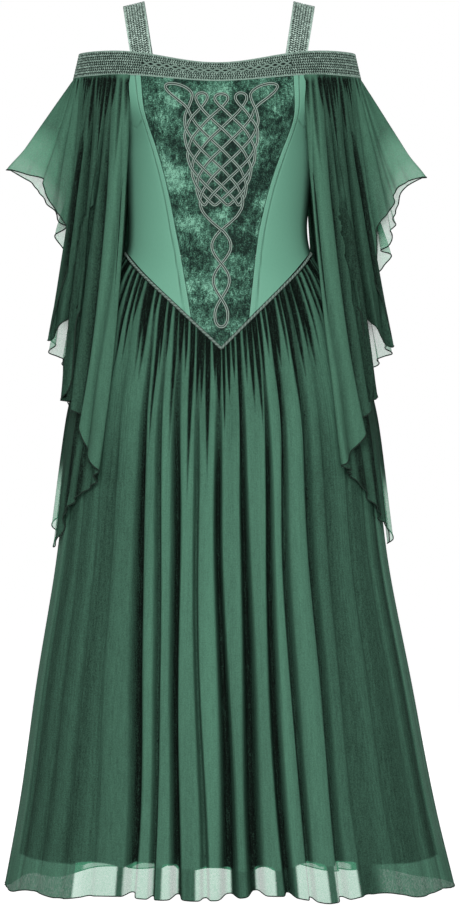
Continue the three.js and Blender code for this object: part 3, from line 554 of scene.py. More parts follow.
def chiffon_material(name, light):
    """Sheer crepe chiffon: how dense it lies comes from the cloth, with a fine grain."""
    shader = Shader(name, roughness=0.85, specular=0.06)
    grain = shader.noise(520, detail=2.0)
    crinkle = shader.noise(260, stretch=(1, 1, 0.06), detail=3.0)
    tone = shader.math("ADD", shader.number("shade"), shader.spread(crinkle, CREASE_TONE))
    tone = shader.math("ADD", tone, shader.spread(grain, GRAIN_TONE), clamp=True)
    density = shader.number("dense")
    # The colour runs by the shade numbers from the chiffon's own colour down to a near-black painted shade.
    body = shader.ramp(tone, (0.0, "chiffon_painted_shade"), (1.0, light))
    # Where the cloth lies thin the colour moves to a paler, greener one: painted light shining through the
    # chiffon.
    thin = shader.remap(density, 0.9, 0.45, 0.0, 1.0)
    shader.join(shader.mix(thin, body, linear("chiffon_painted_light_through")), "Base Color")
    shader.join(shader.math("ADD", density, shader.spread(grain, GRAIN_GAP), clamp=True), "Alpha")
    shader.bump(crinkle, 0.0012, 0.35)
    return shader.material


def satin_material(name, colour):
    shader = Shader(name, roughness=0.5, specular=0.15)
    slub = shader.noise(700, stretch=(1, 1, 0.25), detail=2.0)
    shader.bump(slub, 0.0002, 0.5)
    tone = shader.math("ADD", shader.number("shade"), shader.spread(slub, 0.04), clamp=True)
    # The colour runs by the shade numbers from a painted shade, towards the sides and on stitched lines, to
    # the satin's own colour.
    shader.join(shader.ramp(tone, (0.0, "satin_painted_shade"), (1.0, colour)), "Base Color")
    return shader.material


def velvet_material():
    """Crushed velvet: pile lying in patches, light one way and dark the other; how light or dark each patch
    looks is painted sheen and shade of the pile.
    """
    shader = Shader("crushed velvet", roughness=0.7, specular=0.1)
    patches = shader.noise(24, detail=4.0, roughness=0.55)
    strokes = shader.noise(190, stretch=(1, 1, 0.6), detail=4.0, roughness=0.7)
    fibre = shader.noise(620, detail=2.0, roughness=0.7)
    patch = shader.remap(patches, 0.38, 0.68, 0.0, 0.8)
    lie = shader.math("ADD", patch, shader.spread(strokes, 0.4))
    lie = shader.math("ADD", lie, shader.spread(fibre, 0.45), clamp=True)
    stops = ((0.0, "velvet_dark"), (0.55, "velvet_mid"), (1.0, "velvet_light"))
    shader.join(shader.ramp(lie, *stops), "Base Color")
    shader.bump(shader.math("ADD", strokes, patches), 0.002, 0.5)
    shader.set("Sheen Weight", 0.2)
    shader.set("Sheen Roughness", 0.35)
    shader.set("Sheen Tint", linear("velvet_light"))
    return shader.material


def thread_material(name, light, dark):
    """Braid and cord: each grain of thread has its own tone."""
    shader = Shader(name, roughness=0.7, specular=0.35)
    shader.join(shader.ramp(shader.number("tone"), (0.0, dark), (1.0, light)), "Base Color")
    shader.bump(shader.noise(2200, detail=1.0), 0.0002, 0.5)
    return shader.material


def plain_material(name, colour, roughness):
    shader = Shader(name, roughness=roughness, specular=0.2)
    shader.set("Base Color", linear(colour))
    shader.bump(shader.noise(900, detail=1.0), 0.0002, 0.4)
    return shader.material


MATERIALS = {}


def make_materials():
    MATERIALS.update({
        "chiffon": chiffon_material("skirt chiffon", "chiffon"),
        "sleeve": chiffon_material("sleeve chiffon", "sleeve"),
        "satin": satin_material("green satin", "satin"),
        "lining": satin_material("lining satin", "lining"),
        "velvet": velvet_material(),
        "braid": thread_material("braid thread", "braid_light", "braid_mid"),
        "braid gap shade": plain_material("braid ground", "braid_gap_shade", 0.9),
        "cord": thread_material("soutache cord", "cord", "velvet_dark"),
        "piping": thread_material("piping cord", "piping", "velvet_dark"),
        "strap braid": thread_material("strap braid thread", "strap_light", "braid_mid"),
        "thread": plain_material("sewing thread", "satin_thread", 0.6),
        "hem": plain_material("rolled hem", "hem", 0.8),
    })


# ---- Skirt ----
# Places of the front hem where a single layer of chiffon shows: middle and half width in degrees.
HEM_WINDOWS = {
    "middle": [-36.5, -24.3, -15.6, -4.0, 9.6, 21.8, 31.6],
    "half": [6.6, 4.0, 1.9, 4.6, 2.4, 4.2, 3.4],
}


def window_share(angle):
    """1 where the hem is a single layer, 0 where folds lie over one another."""
    turn = np.degrees(angle)
    turn = np.where(np.abs(turn) > 90, 180 - turn, turn)
    total = np.zeros_like(turn)
    for middle, half in zip(HEM_WINDOWS["middle"], HEM_WINDOWS["half"]):
        total += 1 - ramp(np.abs(turn - middle), half - 0.5, half + 0.5)
    return np.clip(total, 0, 1)


def fold_growth(drop):
    return column_at(SKIRT_DROPS, "drop", drop, "fold")


def fold_valleys(angle, drop):
    """(depth share, painted shade) of the skirt's long folds: 0 on a ridge, about 1 in a full valley."""
    turn = np.degrees(angle)
    deep = np.zeros(np.broadcast(turn, drop).shape)
    dark = np.zeros_like(deep)
    rows = zip(FOLDS["angle"], FOLDS["width"], FOLDS["share"])
    for n, (centre, width, share) in enumerate(rows):
        inward = math.cos(math.radians(centre)) ** 2
        drift = (1 - 0.2 * centre) * inward if abs(centre) < 90 else 1.5 * math.sin(n * 2.3)
        path = centre + drift * ramp(drop, 0.1, 1.0) + 0.5 * np.sin(7 * drop + n * 1.7) * ramp(drop, 0.1, 0.4)
        away = (turn - path + 180) % 360 - 180
        start = 0.05 * (n * 0.618 % 1)
        grown = ramp(drop, start, start + 0.22 + 0.12 * (n * 0.382 % 1))
        wide = width * (0.34 + 0.14 * grown + 0.1 * np.sin(5 * drop + n))
        strong = 1 - 0.8 * ramp(abs(math.sin(math.radians(centre))), 0.5, 0.68)
        crisp = np.exp(-np.abs(away / wide) ** 3)
        broad = np.exp(-((away / (1.5 * width)) ** 2))
        deep += share * strong * (0.7 * crisp + 0.3 * broad) * (0.25 + 0.75 * grown)
        # The valleys' darkness is painted shade.
        dark += strong * min(share * 1.25, 1.0) * (crisp * (0.72 + 0.2 * grown) + 0.12 * broad * grown)
    return deep * fold_growth(drop), np.clip(dark, 0, 1)


def gather_valleys(place, drop, count):
    """Small gathers as wedges that start at the waist seam and run out at unlike lengths."""
    random = np.random.default_rng(count)
    total = np.zeros(np.broadcast(place, drop).shape)
    for n in range(count):
        centre = (n + 0.5 + random.uniform(-0.28, 0.28)) / count
        reach = random.uniform(0.05, 0.17) if n % 3 else random.uniform(0.16, 0.34)
        lean = random.uniform(-0.004, 0.004)
        wide = (0.27 + 0.24 * random.uniform(0, 1)) / count * np.clip(1 - (drop / reach) ** 1.5, 0.02, 1)
        deep = np.clip(1 - (drop / reach) ** 2, 0, 1) * random.uniform(0.7, 1.0)
        total += deep * np.exp(-np.abs((place - centre - lean * drop / reach) / wide) ** 3)
    return np.clip(total, 0, 1)


LINING_SIGHT = 5  # how much higher the lining's edge is seen through the chiffon

# How dense the chiffon lies: several layers, and one layer at the places named.
FOLDED = 1.1
SINGLE_RIM = 0.9
SINGLE_HEM = 0.6
SINGLE_FLAP = (0.92, 0.72)
SINGLE_SLEEVE = 0.48


def lining_hem(angle):
    """Level of the lining's hem: an arch in each place where the chiffon hem lies single."""
    turn = np.degrees(angle)
    turn = np.where(np.abs(turn) > 90, 180 - turn, turn)
    arch = np.zeros_like(turn)
    for n, (middle, half) in enumerate(zip(HEM_WINDOWS["middle"], HEM_WINDOWS["half"])):
        away = (turn - middle - 0.25 * half * math.sin(2.4 * n)) / (1.15 * half)
        arch += (7 + 2 * math.sin(1.7 * n)) * np.clip(1 - away * away, 0, 1) ** 0.7
    return LINING_HEM_LEVEL - 8 + arch + 2.5 * wander(turn * 0.13, 41) + 9 * np.sin(angle) ** 4


def build_skirt(settings, name, start, count):
    columns, rows = settings.skirt_columns, settings.skirt_rows
    stops = waist_stops(start, start + math.pi, columns)[None, :]
    place = np.linspace(0, 1, columns + 1)[None, :]
    spread = np.interp(np.linspace(0, 1, rows + 1), [0, 0.7, 0.87, 1], [0, 0.94, 0.97, 1])
    drop = (spread**1.35)[:, None]
    share, dark = fold_valleys(stops, drop)
    waist = waist_level(stops) - piping_room(stops)
    wave = settings.hem_wave * 1000 * np.clip(share, 0, 1.2)
    hem = HEM_LEVEL + wave + 4.5 * wander(np.degrees(stops) * 0.16, 21)
    level = blend(waist, hem, drop)
    ring = ring_at(level)
    gather = gather_valleys(place, drop, count)
    crinkle = wander(place * 700 + 4 * wander(drop * 6, 8), 13) * ramp(drop, 0.02, 0.2)
    out = 1.2 - gather * settings.gather_depth * 1000 - settings.fold_depth * 1000 * share + 0.22 * crinkle
    points = oval_point(ring, stops, level) + oval_normal(ring, stops) * out[..., None]
    outer = np.abs(np.sin(stops))
    # Painted light and shade in the chiffon's colour: a light level that changes from waist to hem, darker
    # towards the sides, painted shade in the fold valleys and gathers, and painted light along the side rims,
    # in the single-layer hem windows and at the ends below the lining.
    lit = blend(0.68 + 0.2 * ramp(drop, 0.08, 0.3), 0.84, ramp(drop, 0.45, 1.0))
    lit = lit * (1 - 0.55 * ramp(outer, 0.35, 0.7) * ramp(drop, 0.08, 0.35))
    lit = lit + 0.1 * wander(np.degrees(stops) * 0.45 + 1.5 * drop, 57)
    shade = np.clip(lit * (1 - dark) - 1.3 * gather + 0.02 * crinkle, 0, 1)
    below = ramp(lining_hem(stops) + LINING_SIGHT - level, -1.5, 1)
    window = window_share(stops)
    rim = ramp(outer, 0.95, 0.962) * ramp(drop, 0.2, 0.5)
    ends = ramp(outer, 0.62, 0.7)
    dense = blend(FOLDED, SINGLE_HEM, window) - 0.14 * ends
    dense = blend(blend(FOLDED, SINGLE_RIM, rim), dense, below)
    shade = blend(shade, 0.95, rim)
    shade = blend(shade, blend(0.6 * shade + 0.1, 0.95, np.maximum(window, 0.8 * ends)), below)
    piece = grid_piece(name, points, MATERIALS["chiffon"], values={"shade": shade, "dense": dense})
    return piece, points


def build_hem(name, path, closed=False, radius=0.9):
    ups = np.tile([0.0, 0.0, 1.0], (len(path), 1))
    return joined_piece(name, [cord_part(path, ups, radius, radius, closed=closed)], MATERIALS["hem"])


def build_lining(name, start):
    gap = SEAM_GAP / 200
    stops = waist_stops(start + gap, start + math.pi - gap, 120)[None, :]
    drop = np.linspace(0, 1, 61)[:, None]
    waist = waist_level(stops) - piping_room(stops)
    level = blend(waist, lining_hem(stops), drop)
    away = fold_growth(drop)
    soft = 3 * np.sin(stops * 13 + 1) * away
    side, depth = blend(4, 22, away) + soft, blend(4, 42, away) + soft
    points = oval_point(ring_at(level), stops, level, side, depth)
    return grid_piece(name, points, MATERIALS["lining"], values={"shade": np.ones(points.shape[:2])})


# The two halves, front and back, and the angle round the figure where each starts.
HALVES = (("front", -QUARTER), ("back", QUARTER))


class GOWN_OT_skirt(Operator):
    """Skirt of gathered chiffon in two halves over its lining, with rolled hems"""

    bl_idname = "gown.skirt"
    bl_label = "Skirt"

    def execute(self, context):
        settings = context.scene.gown
        gathers = {"front": settings.gathers_front, "back": settings.gathers_back}
        for half, start in HALVES:
            piece, points = build_skirt(settings, "skirt_chiffon_" + half, start, gathers[half])
            hem = build_hem("skirt_hem_" + half, points[-1])
            lining = build_lining("skirt_lining_" + half, start)
            for made in (piece, hem, lining):
                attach(made, "root")
            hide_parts("skirt_" + half)
            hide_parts("lining_" + half)
        return {"FINISHED"}


# ---- Sleeves ----
def sleeve_top(side, place):
    """Where the sleeve is sewn on: along the neckband, then round the armhole."""
    front = place <= 0.5
    way = np.where(front, place, 1 - place)
    turn = blend(QUARTER, CORNER_TURN, np.minimum(way * 3, 1))
    angle = np.where(front, turn, math.pi - turn) * side
    level = band_bottom(angle) - SEAM_GAP
    lap = 7.5 * ramp(way, 0.2, 0.3)
    along_band = torso_point(angle, level) + oval_normal(ring_at(level), angle) * lap[..., None]
    corner = np.where(front, CORNER_TURN, math.pi - CORNER_TURN)
    share = np.sin(np.clip(way * 6 - 2, 0, 1) * QUARTER)
    level = blend(band_bottom(corner) - SEAM_GAP, UNDERARM_LEVEL, share)
    turn = armhole_angle(level)
    angle = np.where(front, turn, math.pi - turn) * side
    round_arm = torso_point(angle, level) + oval_normal(ring_at(level), angle) * 1.1
    return np.where((way <= 1 / 3)[..., None], along_band, round_arm)


def clear_of_skirt(points, clearance):
    """Moves points out of the skirt's rings."""
    ring = ring_at(points[..., 2])
    depth = np.where(points[..., 1] < 0, ring["front"], ring["back"]) + clearance
    across = points[..., 0] - ring["shift"]
    reach = np.hypot(across / (ring["half"] + clearance), points[..., 1] / depth)
    inside = (reach < 1) & (points[..., 2] <= UNDERARM_LEVEL)
    reach = np.where(inside, np.maximum(reach, 0.05), 1)
    x = ring["shift"] + across / reach
    return np.stack([x, points[..., 1] / reach, points[..., 2]], -1)


def sleeve_valleys(place, drop):
    """(depth, painted shade) of the valleys between the sleeve's columns."""
    deep = np.zeros(np.broadcast(place, drop).shape)
    dark = np.zeros_like(deep)
    rows = zip(SLEEVE_FOLDS["place"], SLEEVE_FOLDS["width"], SLEEVE_FOLDS["depth"])
    for n, (centre, width, depth) in enumerate(rows):
        start = 0.02 + 0.06 * (n * 0.618 % 1)
        sway = 0.003 * np.sin(drop * 5 + n * 2.1)
        away = (place - centre - sway + 0.5) % 1 - 0.5
        grown = ramp(drop, start, start + 0.3)
        wide = width * (0.35 + 0.65 * grown)
        crisp = np.exp(-np.abs(away / wide) ** 3)
        deep += depth * grown * (0.75 * crisp + 0.25 * np.exp(-((away / (2.2 * width)) ** 2)))
        # The valleys' darkness is painted shade.
        dark += min(depth / 12, 1) * (0.35 + 0.65 * grown) * crisp
    return deep, np.clip(dark, 0, 1)


def build_sleeve(settings, name, side, table):
    columns, rows = settings.sleeve_columns, settings.sleeve_rows
    ring = {"top": [t - 1 for t in table["top"][-3:]] + table["top"] + [t + 1 for t in table["top"][:3]]}
    for key in ("out", "y", "level"):
        ring[key] = table[key][-3:] + table[key] + table[key][:3]
    place = np.linspace(0, 1, columns, endpoint=False)
    hem = np.stack([column_at(ring, "top", place, key) for key in ("out", "y", "level")], -1)
    hem = hem * np.array([side, 1, 1])
    top = sleeve_top(side, place)
    drop = (np.linspace(0, 1, rows + 1) ** 1.15)[:, None]
    points = blend(top[None], hem[None], drop[..., None])
    inner = ramp(np.minimum(place, 1 - place), 0.28, 0.34)[None, :]
    points[..., 0] -= side * inner * 4 * drop * (1 - drop) * settings.sleeve_hug * 1000
    points = clear_of_skirt(points, 9)
    across = np.roll(points, -4, 1) - np.roll(points, 4, 1)
    flat_normal = unit(np.stack([across[..., 1], -across[..., 0], np.zeros(across.shape[:2])], -1)) * -side
    fold, dark = sleeve_valleys(place[None, :], drop)
    way = np.minimum(place, 1 - place)[None, :]
    gather = gather_valleys(place[None, :], drop * 0.9, 60) * ramp(drop, 0, 0.02)
    out = 1.5 - gather * settings.gather_depth * 900 - fold * settings.sleeve_fold
    points = points + flat_normal * out[..., None]
    ripple = 5.0 * ramp(drop, 0.75, 1.0) * wander(place[None, :] * 170, 31)
    points = points + flat_normal * ripple[..., None]
    points = clear_of_skirt(points, 3)
    # Painted light and shade in the sleeve's colour: a lighter broad column and flap, painted shade in the
    # valleys and gathers, eased in the tier column, and painted light on the single back layer near the hem.
    broad = 0.4 + 0.5 * np.exp(-(((way - 0.318) / 0.018) ** 2)) + 0.45 * (1 - ramp(way, 0.1, 0.16))
    tier = np.exp(-(((way - 0.25) / 0.055) ** 2)) * ramp(drop, 0.1, 0.55)
    shade = np.clip(broad * (1 - dark * (1 - 0.5 * tier)) - 0.95 * gather, 0, 1)
    flap = (1 - ramp(way, 0.125, 0.15)) * ramp(drop, 0.2, 0.75)
    single = (place > 0.5)[None, :] * ramp(drop, 0.78, 0.92)
    dense = blend(FOLDED, blend(*SINGLE_FLAP, ramp(0.13 - way, 0, 0.13)), flap)
    dense = blend(dense, SINGLE_SLEEVE, single)
    shade = blend(shade, 0.9, single)
    dense = dense + 0.25 * (gather + 0.5 * dark) * (1 - single)
    values = {"shade": shade, "dense": dense}
    piece = grid_piece(name, points, MATERIALS["sleeve"], closed=True, flipped=side < 0, values=values)
    return piece, points


class GOWN_OT_sleeves(Operator):
    """Two cascade sleeves of sheer chiffon with rolled hems"""

    bl_idname = "gown.sleeves"
    bl_label = "Sleeves"

    def execute(self, context):
        settings = context.scene.gown
        for name, side, table in (("left", -1, SLEEVE_HEM_LEFT), ("right", 1, SLEEVE_HEM_RIGHT)):
            piece, points = build_sleeve(settings, "sleeve_chiffon_" + name, side, table)
            hem = build_hem("sleeve_hem_" + name, points[-1], closed=True, radius=1.0)
            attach(piece, "root")
            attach(hem, "root")
            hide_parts("sleeve_" + name)
        return {"FINISHED"}


# ---- Bodice ----
def panel_grid(left, right, columns, rows, shape=None):
    """Points of a bodice panel between two seams, from the neckband to the waist seam."""
    u = np.linspace(0, 1, columns + 1)[None, :]
    v = np.linspace(0, 1, rows + 1)[:, None]
    gap = SEAM_GAP / 200

    def angle_at(level):
        return blend(left(level) + gap, right(level) - gap, u)

    def top_edge(level):
        return band_bottom(angle_at(level)) - SEAM_GAP

    def foot_edge(level):
        return waist_level(angle_at(level)) + piping_room(angle_at(level))

    top = settle(np.full((1, columns + 1), float(BAND_LEVEL)), top_edge)
    foot = settle(np.full((1, columns + 1), float(WAIST_BACK_LEVEL)), foot_edge)
    level = blend(top, foot, v)
    angle = angle_at(level)
    out = 0.0 if shape is None else shape(u, v, angle, level)
    return torso_point(angle, level, out), angle


# Bust dart of a side panel: its tip (x, level) and its two legs away from the tip.
DART_TIP = (131.0, -203.0)
DART_LEGS = ((16.0, 13.0), (-9.0, 10.0))


def seam_distance(angle, level, seam_angle):
    """How far a place lies from a seam, along the ring."""
    ring = ring_at(level)
    return np.hypot(
        ring["half"] * (np.sin(angle) - np.sin(seam_angle)),
        ring["front"] * (np.cos(angle) - np.cos(seam_angle)),
    )


def dart_lines(angle, level):
    """1 on the stitched lines of the two bust darts of a side panel."""
    x = np.abs(ring_at(level)["half"] * np.sin(angle))
    total = np.zeros(np.broadcast(angle, level).shape)
    for across, up in DART_LEGS:
        px, pz = x - DART_TIP[0], level - DART_TIP[1]
        t = np.clip((px * across + pz * up) / (across * across + up * up), 0, 1)
        away = np.hypot(px - t * across, pz - t * up)
        total = total + np.exp(-((away / 1.1) ** 2)) * (0.35 + 0.65 * t)
    return total


STRIP_EDGE = (8.2, 9.2)  # where the raised strip beside the velvet seam ends
STRIP_GROOVE = 9.8


def strip_line(away):
    """1 in the stitched groove beside the raised strip."""
    return np.exp(-((away - STRIP_GROOVE) ** 2))


def side_front_shape(side):
    def shape(u, v, angle, level):
        away = seam_distance(angle, level, side * velvet_angle(level))
        strip = 1.3 * (1 - ramp(away, *STRIP_EDGE)) - 0.7 * strip_line(away)
        ripple = 0.5 * np.sin(level * 0.05 + u * 2) * v
        return strip - 1.3 * dart_lines(angle, level) + ripple

    return shape


def back_seam(u, v, angle, level):
    """A narrow groove down the centre back."""
    return -0.8 * np.exp(-(((np.abs(angle) - math.pi) * 95 / 1.6) ** 2))


def side_shade(angle):
    """Satin lies in the sleeves' shade towards the sides."""
    return 1 - 0.85 * ramp(np.abs(np.sin(angle)), 0.9, 1.0)


def stitched_shade(angle, level):
    """The sides' shade, and painted shade on the stitched lines of a side front panel: its darts and the
    groove beside the strip.
    """
    away = seam_distance(angle, level, np.sign(angle) * velvet_angle(level))
    lines = np.clip(dart_lines(angle, level), 0, 1) + strip_line(away)
    return side_shade(angle) * (1 - 0.55 * np.clip(lines, 0, 1))


STITCH_LONG = 2.4
STITCH_WIDE = 0.7
STITCH_GAP = 1.0


def stitch_row(angles, levels, out):
    """Little stitches along a line on the bodice."""
    path = torso_point(angles, levels, out)
    lengths = lengths_along(path)
    count = int(lengths[-1] / (STITCH_LONG + STITCH_GAP))
    spots = np.linspace(STITCH_LONG, lengths[-1] - STITCH_LONG, count)
    centres = rows_at(path, lengths, spots)
    ahead = rows_at(path, lengths, spots + 1)
    ups = rows_at(oval_normal(ring_at(levels), angles), lengths, spots)
    return grains(centres, ahead - centres, ups, STITCH_LONG, STITCH_WIDE, STITCH_WIDE)


class GOWN_OT_bodice(Operator):
    """Velvet front panel, satin sides and backs, with topstitched seams"""

    bl_idname = "gown.bodice"
    bl_label = "Bodice"

    def execute(self, context):
        side = armhole_angle
        velvet, _ = panel_grid(lambda z: -velvet_angle(z), velvet_angle, 80, 120)
        made = {"bodice_front_center": (velvet, "velvet", 1.0)}
        left, turn = panel_grid(lambda z: -side(z), lambda z: -velvet_angle(z), 90, 120, side_front_shape(-1))
        made["bodice_side_front_left"] = (left, "satin", stitched_shade(turn, left[..., 2]))
        right, turn = panel_grid(velvet_angle, side, 90, 120, side_front_shape(1))
        made["bodice_side_front_right"] = (right, "satin", stitched_shade(turn, right[..., 2]))
        back_left, turn = panel_grid(lambda z: -math.pi, lambda z: side(z) - math.pi, 40, 50, back_seam)
        made["bodice_back_left"] = (back_left, "satin", side_shade(turn))
        back_right, turn = panel_grid(lambda z: math.pi - side(z), lambda z: math.pi, 40, 50, back_seam)
        made["bodice_back_right"] = (back_right, "satin", side_shade(turn))
        for node, (points, slot, shade) in made.items():
            shade = np.broadcast_to(shade, points.shape[:2])
            piece = grid_piece(node + "_cloth", points, MATERIALS[slot], values={"shade": shade})
            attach(piece, "root")
            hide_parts(node)
        rows = []
        levels = np.linspace(-122, -520, 400)
        for way in (-1, 1):
            for inset in (2.0, 7.0):
                angles = way * (velvet_angle(levels) + inset / ring_at(levels)["half"])
                keep = (levels < band_bottom(angles) - 1) & (levels > waist_level(angles) + 5)
                rows.append(stitch_row(angles[keep], levels[keep], 1.4))
        piece = joined_piece("seam_topstitching", rows, MATERIALS["thread"])
        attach(piece, "root")
        return {"FINISHED"}


class GOWN_OT_piping(Operator):
    """Twisted cord in the waist seam"""

    bl_idname = "gown.piping"
    bl_label = "Piping"

    def execute(self, context):
        for half, start in HALVES:
            stops = waist_stops(start, start + math.pi, 640)
            level = waist_level(stops)
            path = torso_point(stops, level)
            ups = oval_normal(ring_at(level), stops)
            spin = lengths_along(path) / PIPING_TWIST * 2 * math.pi
            across = unit(np.cross(unit(np.gradient(path, axis=0)), ups))
            parts = []
            for phase, tone in ((0, 1.0), (math.pi, 0.55)):
                turn = (spin + phase)[:, None]
                centre = path + across * np.cos(turn) * PIPING_SWING + ups * np.sin(turn) * PIPING_SWING
                strand = PIPING_RADIUS - PIPING_SWING
                parts.append(cord_part(centre, ups, strand, strand, sides=7, tone=tone))
            piece = joined_piece("piping_cord_" + half, parts, MATERIALS["piping"])
            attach(piece, "root")
            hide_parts("waist_piping_" + half)
        return {"FINISHED"}


# ---- Braided neckband and straps ----
def even_places(surface, t):
    """Turns a share of the length into the surface's own s, so that threads lie evenly."""
    s = np.linspace(0, 1, 801)
    lengths = lengths_along(surface(s, np.full_like(s, t))[0])
    return lambda share: np.interp(share, lengths / lengths[-1], s)


BAND_LENGTH = 545
STRAP_LENGTH = 272
EDGE_RADIUS = 1.1
GROUND_INSET = 0.4  # how far the ribbon's ground lies below its face
THREAD_PITCH = 3.9
THREAD_SLANT = 1.1
THREAD_LONG = 5.2
THREAD_HIGH = 1.3
EYE_ROWS = (3, 4)
EYES_HALF = 0.225  # share of the band on each side of its middle that has eyes
EYE_PITCH = 13.8
# The band's outward direction is that of this oval.
BAND_FACING = {"half": 224, "front": 99, "back": 99}


def braid_rows(surface, length, rows, wide, eyes=False):
    """Chevron rows of thread on a ribbon; the rows with eyes keep their middle free."""
    parts = []
    even = even_places(surface, 0.5)
    count = int(length / THREAD_PITCH)
    for n in range(rows):
        share = (np.arange(count) + 0.5) / count
        if eyes and n in EYE_ROWS:
            share = share[np.abs(share - 0.5) > EYES_HALF]
        t = np.full(len(share), (n + 0.5) / rows)
        place, normal = surface(even(share), t)
        ahead, _ = surface(even(share + 0.4 / count), t)
        lower, _ = surface(even(share), t + 0.01)
        along = unit(ahead - place) + unit(lower - place) * (-1) ** n * THREAD_SLANT
        seats = place + normal * 0.9
        parts.append(grains(seats, along, normal, THREAD_LONG, wide, THREAD_HIGH, seed=20 + n))
    return parts


def band_surface(start):
    def surface(s, t):
        angle = start + s * math.pi
        top = oval_point(NECKBAND, angle, band_top(angle))
        bottom = torso_point(angle, band_bottom(angle) + SEAM_GAP / 2)
        return blend(top, bottom, np.asarray(t)[..., None]), oval_normal(BAND_FACING, angle)

    return surface


def eyelet_braid(surface, low, high, radius):
    """Two strands that swing past each other and leave a row of eyes between them."""
    length = BAND_LENGTH * EYES_HALF * 2
    s = np.linspace(0, 1, int(length / 1.1))
    parts = []
    swings = round(length / EYE_PITCH / 2) * 2
    even = even_places(surface, 0.45)
    for phase in (0, math.pi):
        wave = np.cos(s * swings * math.pi + phase)
        t = blend(low, high, 0.5 + 0.5 * wave)
        place, normal = surface(even(0.5 + (s * 2 - 1) * EYES_HALF), t)
        lift = 0.9 + 0.8 * np.sin(s * swings * math.pi + phase) * np.cos(s * swings * math.pi)
        path = place + normal * lift[:, None]
        parts.append(cord_part(path, normal, radius * 1.3, radius))
    return parts


def ribbon_grid(surface, columns, rows):
    s, t = np.meshgrid(np.linspace(0, 1, columns + 1), np.linspace(0, 1, rows + 1))
    place, normal = surface(s, t)
    return place - normal * GROUND_INSET


def edge_cords(surface, length):
    """A cord along each edge of a ribbon."""
    s = np.linspace(0, 1, int(length / 2.0))
    parts = []
    for t in (0.01, 0.99):
        place, normal = surface(s, np.full_like(s, t))
        parts.append(cord_part(place + normal * 0.5, normal, EDGE_RADIUS, EDGE_RADIUS, tone=0.8))
    return parts


class GOWN_OT_neckband(Operator):
    """Braided neckband in two halves with a row of eyes in its middle"""

    bl_idname = "gown.neckband"
    bl_label = "Neckband"

    def execute(self, context):
        for half, start in HALVES:
            surface = band_surface(start)
            grid = ribbon_grid(surface, 160, 8)
            # The ribbon's near-black ground is painted shade in the gaps and eyes between the threads.
            base = grid_piece("neckband_ground_" + half, grid, MATERIALS["braid gap shade"])
            parts = braid_rows(surface, BAND_LENGTH, 9, 2.7, eyes=True)
            parts += eyelet_braid(surface, 0.36, 0.54, 1.25)
            parts += edge_cords(surface, BAND_LENGTH)
            braid = joined_piece("neckband_braid_" + half, parts, MATERIALS["braid"])
            for piece in (base, braid):
                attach(piece, "root")
            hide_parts("neckband_" + half)
        return {"FINISHED"}


def strap_surface(side):
    """s runs from the front foot over the shoulder to the back foot, t across the strap."""

    def place_at(s, t):
        across = t * 2 - 1
        arch = np.sin(s * math.pi)
        foot = STRAP["foot"] + across * STRAP["width"] / 2
        top = STRAP["top"] + across * STRAP["width"] / 2
        angle = np.arcsin(np.clip((foot - side * NECKBAND["shift"]) / NECKBAND["half"], -1, 1))
        foot_angle = side * np.where(s < 0.5, angle, math.pi - angle)
        base = oval_point(NECKBAND, foot_angle, band_top(foot_angle) + SEAM_GAP)
        x = side * blend(foot, top, arch)
        y = base[..., 1] * np.abs(np.cos(s * math.pi))
        z = blend(base[..., 2], -across * STRAP["tilt"] / 2, arch)
        return np.stack([x, y, z], -1)

    def surface(s, t):
        s, t = np.broadcast_arrays(np.asarray(s, float), np.asarray(t, float))
        step = 0.004
        along = place_at(np.clip(s + step, 0, 1), t) - place_at(np.clip(s - step, 0, 1), t)
        over = place_at(s, t + 0.05) - place_at(s, t - 0.05)
        return place_at(s, t), unit(np.cross(along, over)) * -side

    return surface


class GOWN_OT_straps(Operator):
    """Two braided shoulder straps"""

    bl_idname = "gown.straps"
    bl_label = "Straps"

    def execute(self, context):
        for name, side in (("left", -1), ("right", 1)):
            surface = strap_surface(side)
            grid = ribbon_grid(surface, 80, 6)
            # The ribbon's near-black ground is painted shade in the gaps between the threads.
            base = grid_piece("strap_ground_" + name, grid, MATERIALS["braid gap shade"], flipped=side > 0)
            parts = braid_rows(surface, STRAP_LENGTH, 8, 2.9)
            parts += edge_cords(surface, STRAP_LENGTH)
            braid = joined_piece("strap_braid_" + name, parts, MATERIALS["strap braid"])
            for piece in (base, braid):
                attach(piece, "root")
            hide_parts("strap_" + name)
        return {"FINISHED"}


# ---- Plaited cord on the velvet ----
def strand_place(strand, turn):
    """One strand of the plait: it swings from edge to edge and passes over and under in turn."""
    phase = turn + 2 * strand / KNOT["strands"]
    half = column_at(KNOT_ROWS, "turn", turn, "half")
    edge = np.clip(KNOT["strands"] * 0.6 * np.sin(math.pi * phase), -1, 1)
    lift = KNOT["lift"] * np.cos(math.pi * KNOT["strands"] * phase) * edge
    return np.stack([half * np.cos(math.pi * phase), column_at(KNOT_ROWS, "turn", turn, "level"), lift], -1)


def strand_run(strand, start, end):
    count = round(abs(end - start) * KNOT["strands"] * 6)
    return strand_place(strand, np.linspace(start, end, count + 1))


def chain_run(way):
    """One side of the two-strand chain below the plait; way is 1 for the side that starts towards -X."""
    end = KNOT["chain_loops"] - 0.5
    start = column_at(KNOT_ROWS, "turn", np.array(KNOT["side_turn"]), "level")
    loops = np.linspace(0, end, int(end * KNOT["chain_steps"] * 3) + 1)[1:]
    half = blend(KNOT["chain_top_half"], KNOT["chain_end_half"], loops / end)
    swing = -way * half * np.sin(math.pi * loops)
    level = blend(start, KNOT["chain_end_level"], loops / end)
    return np.stack([swing, level, -way * KNOT["lift"] * np.cos(math.pi * loops)], -1)


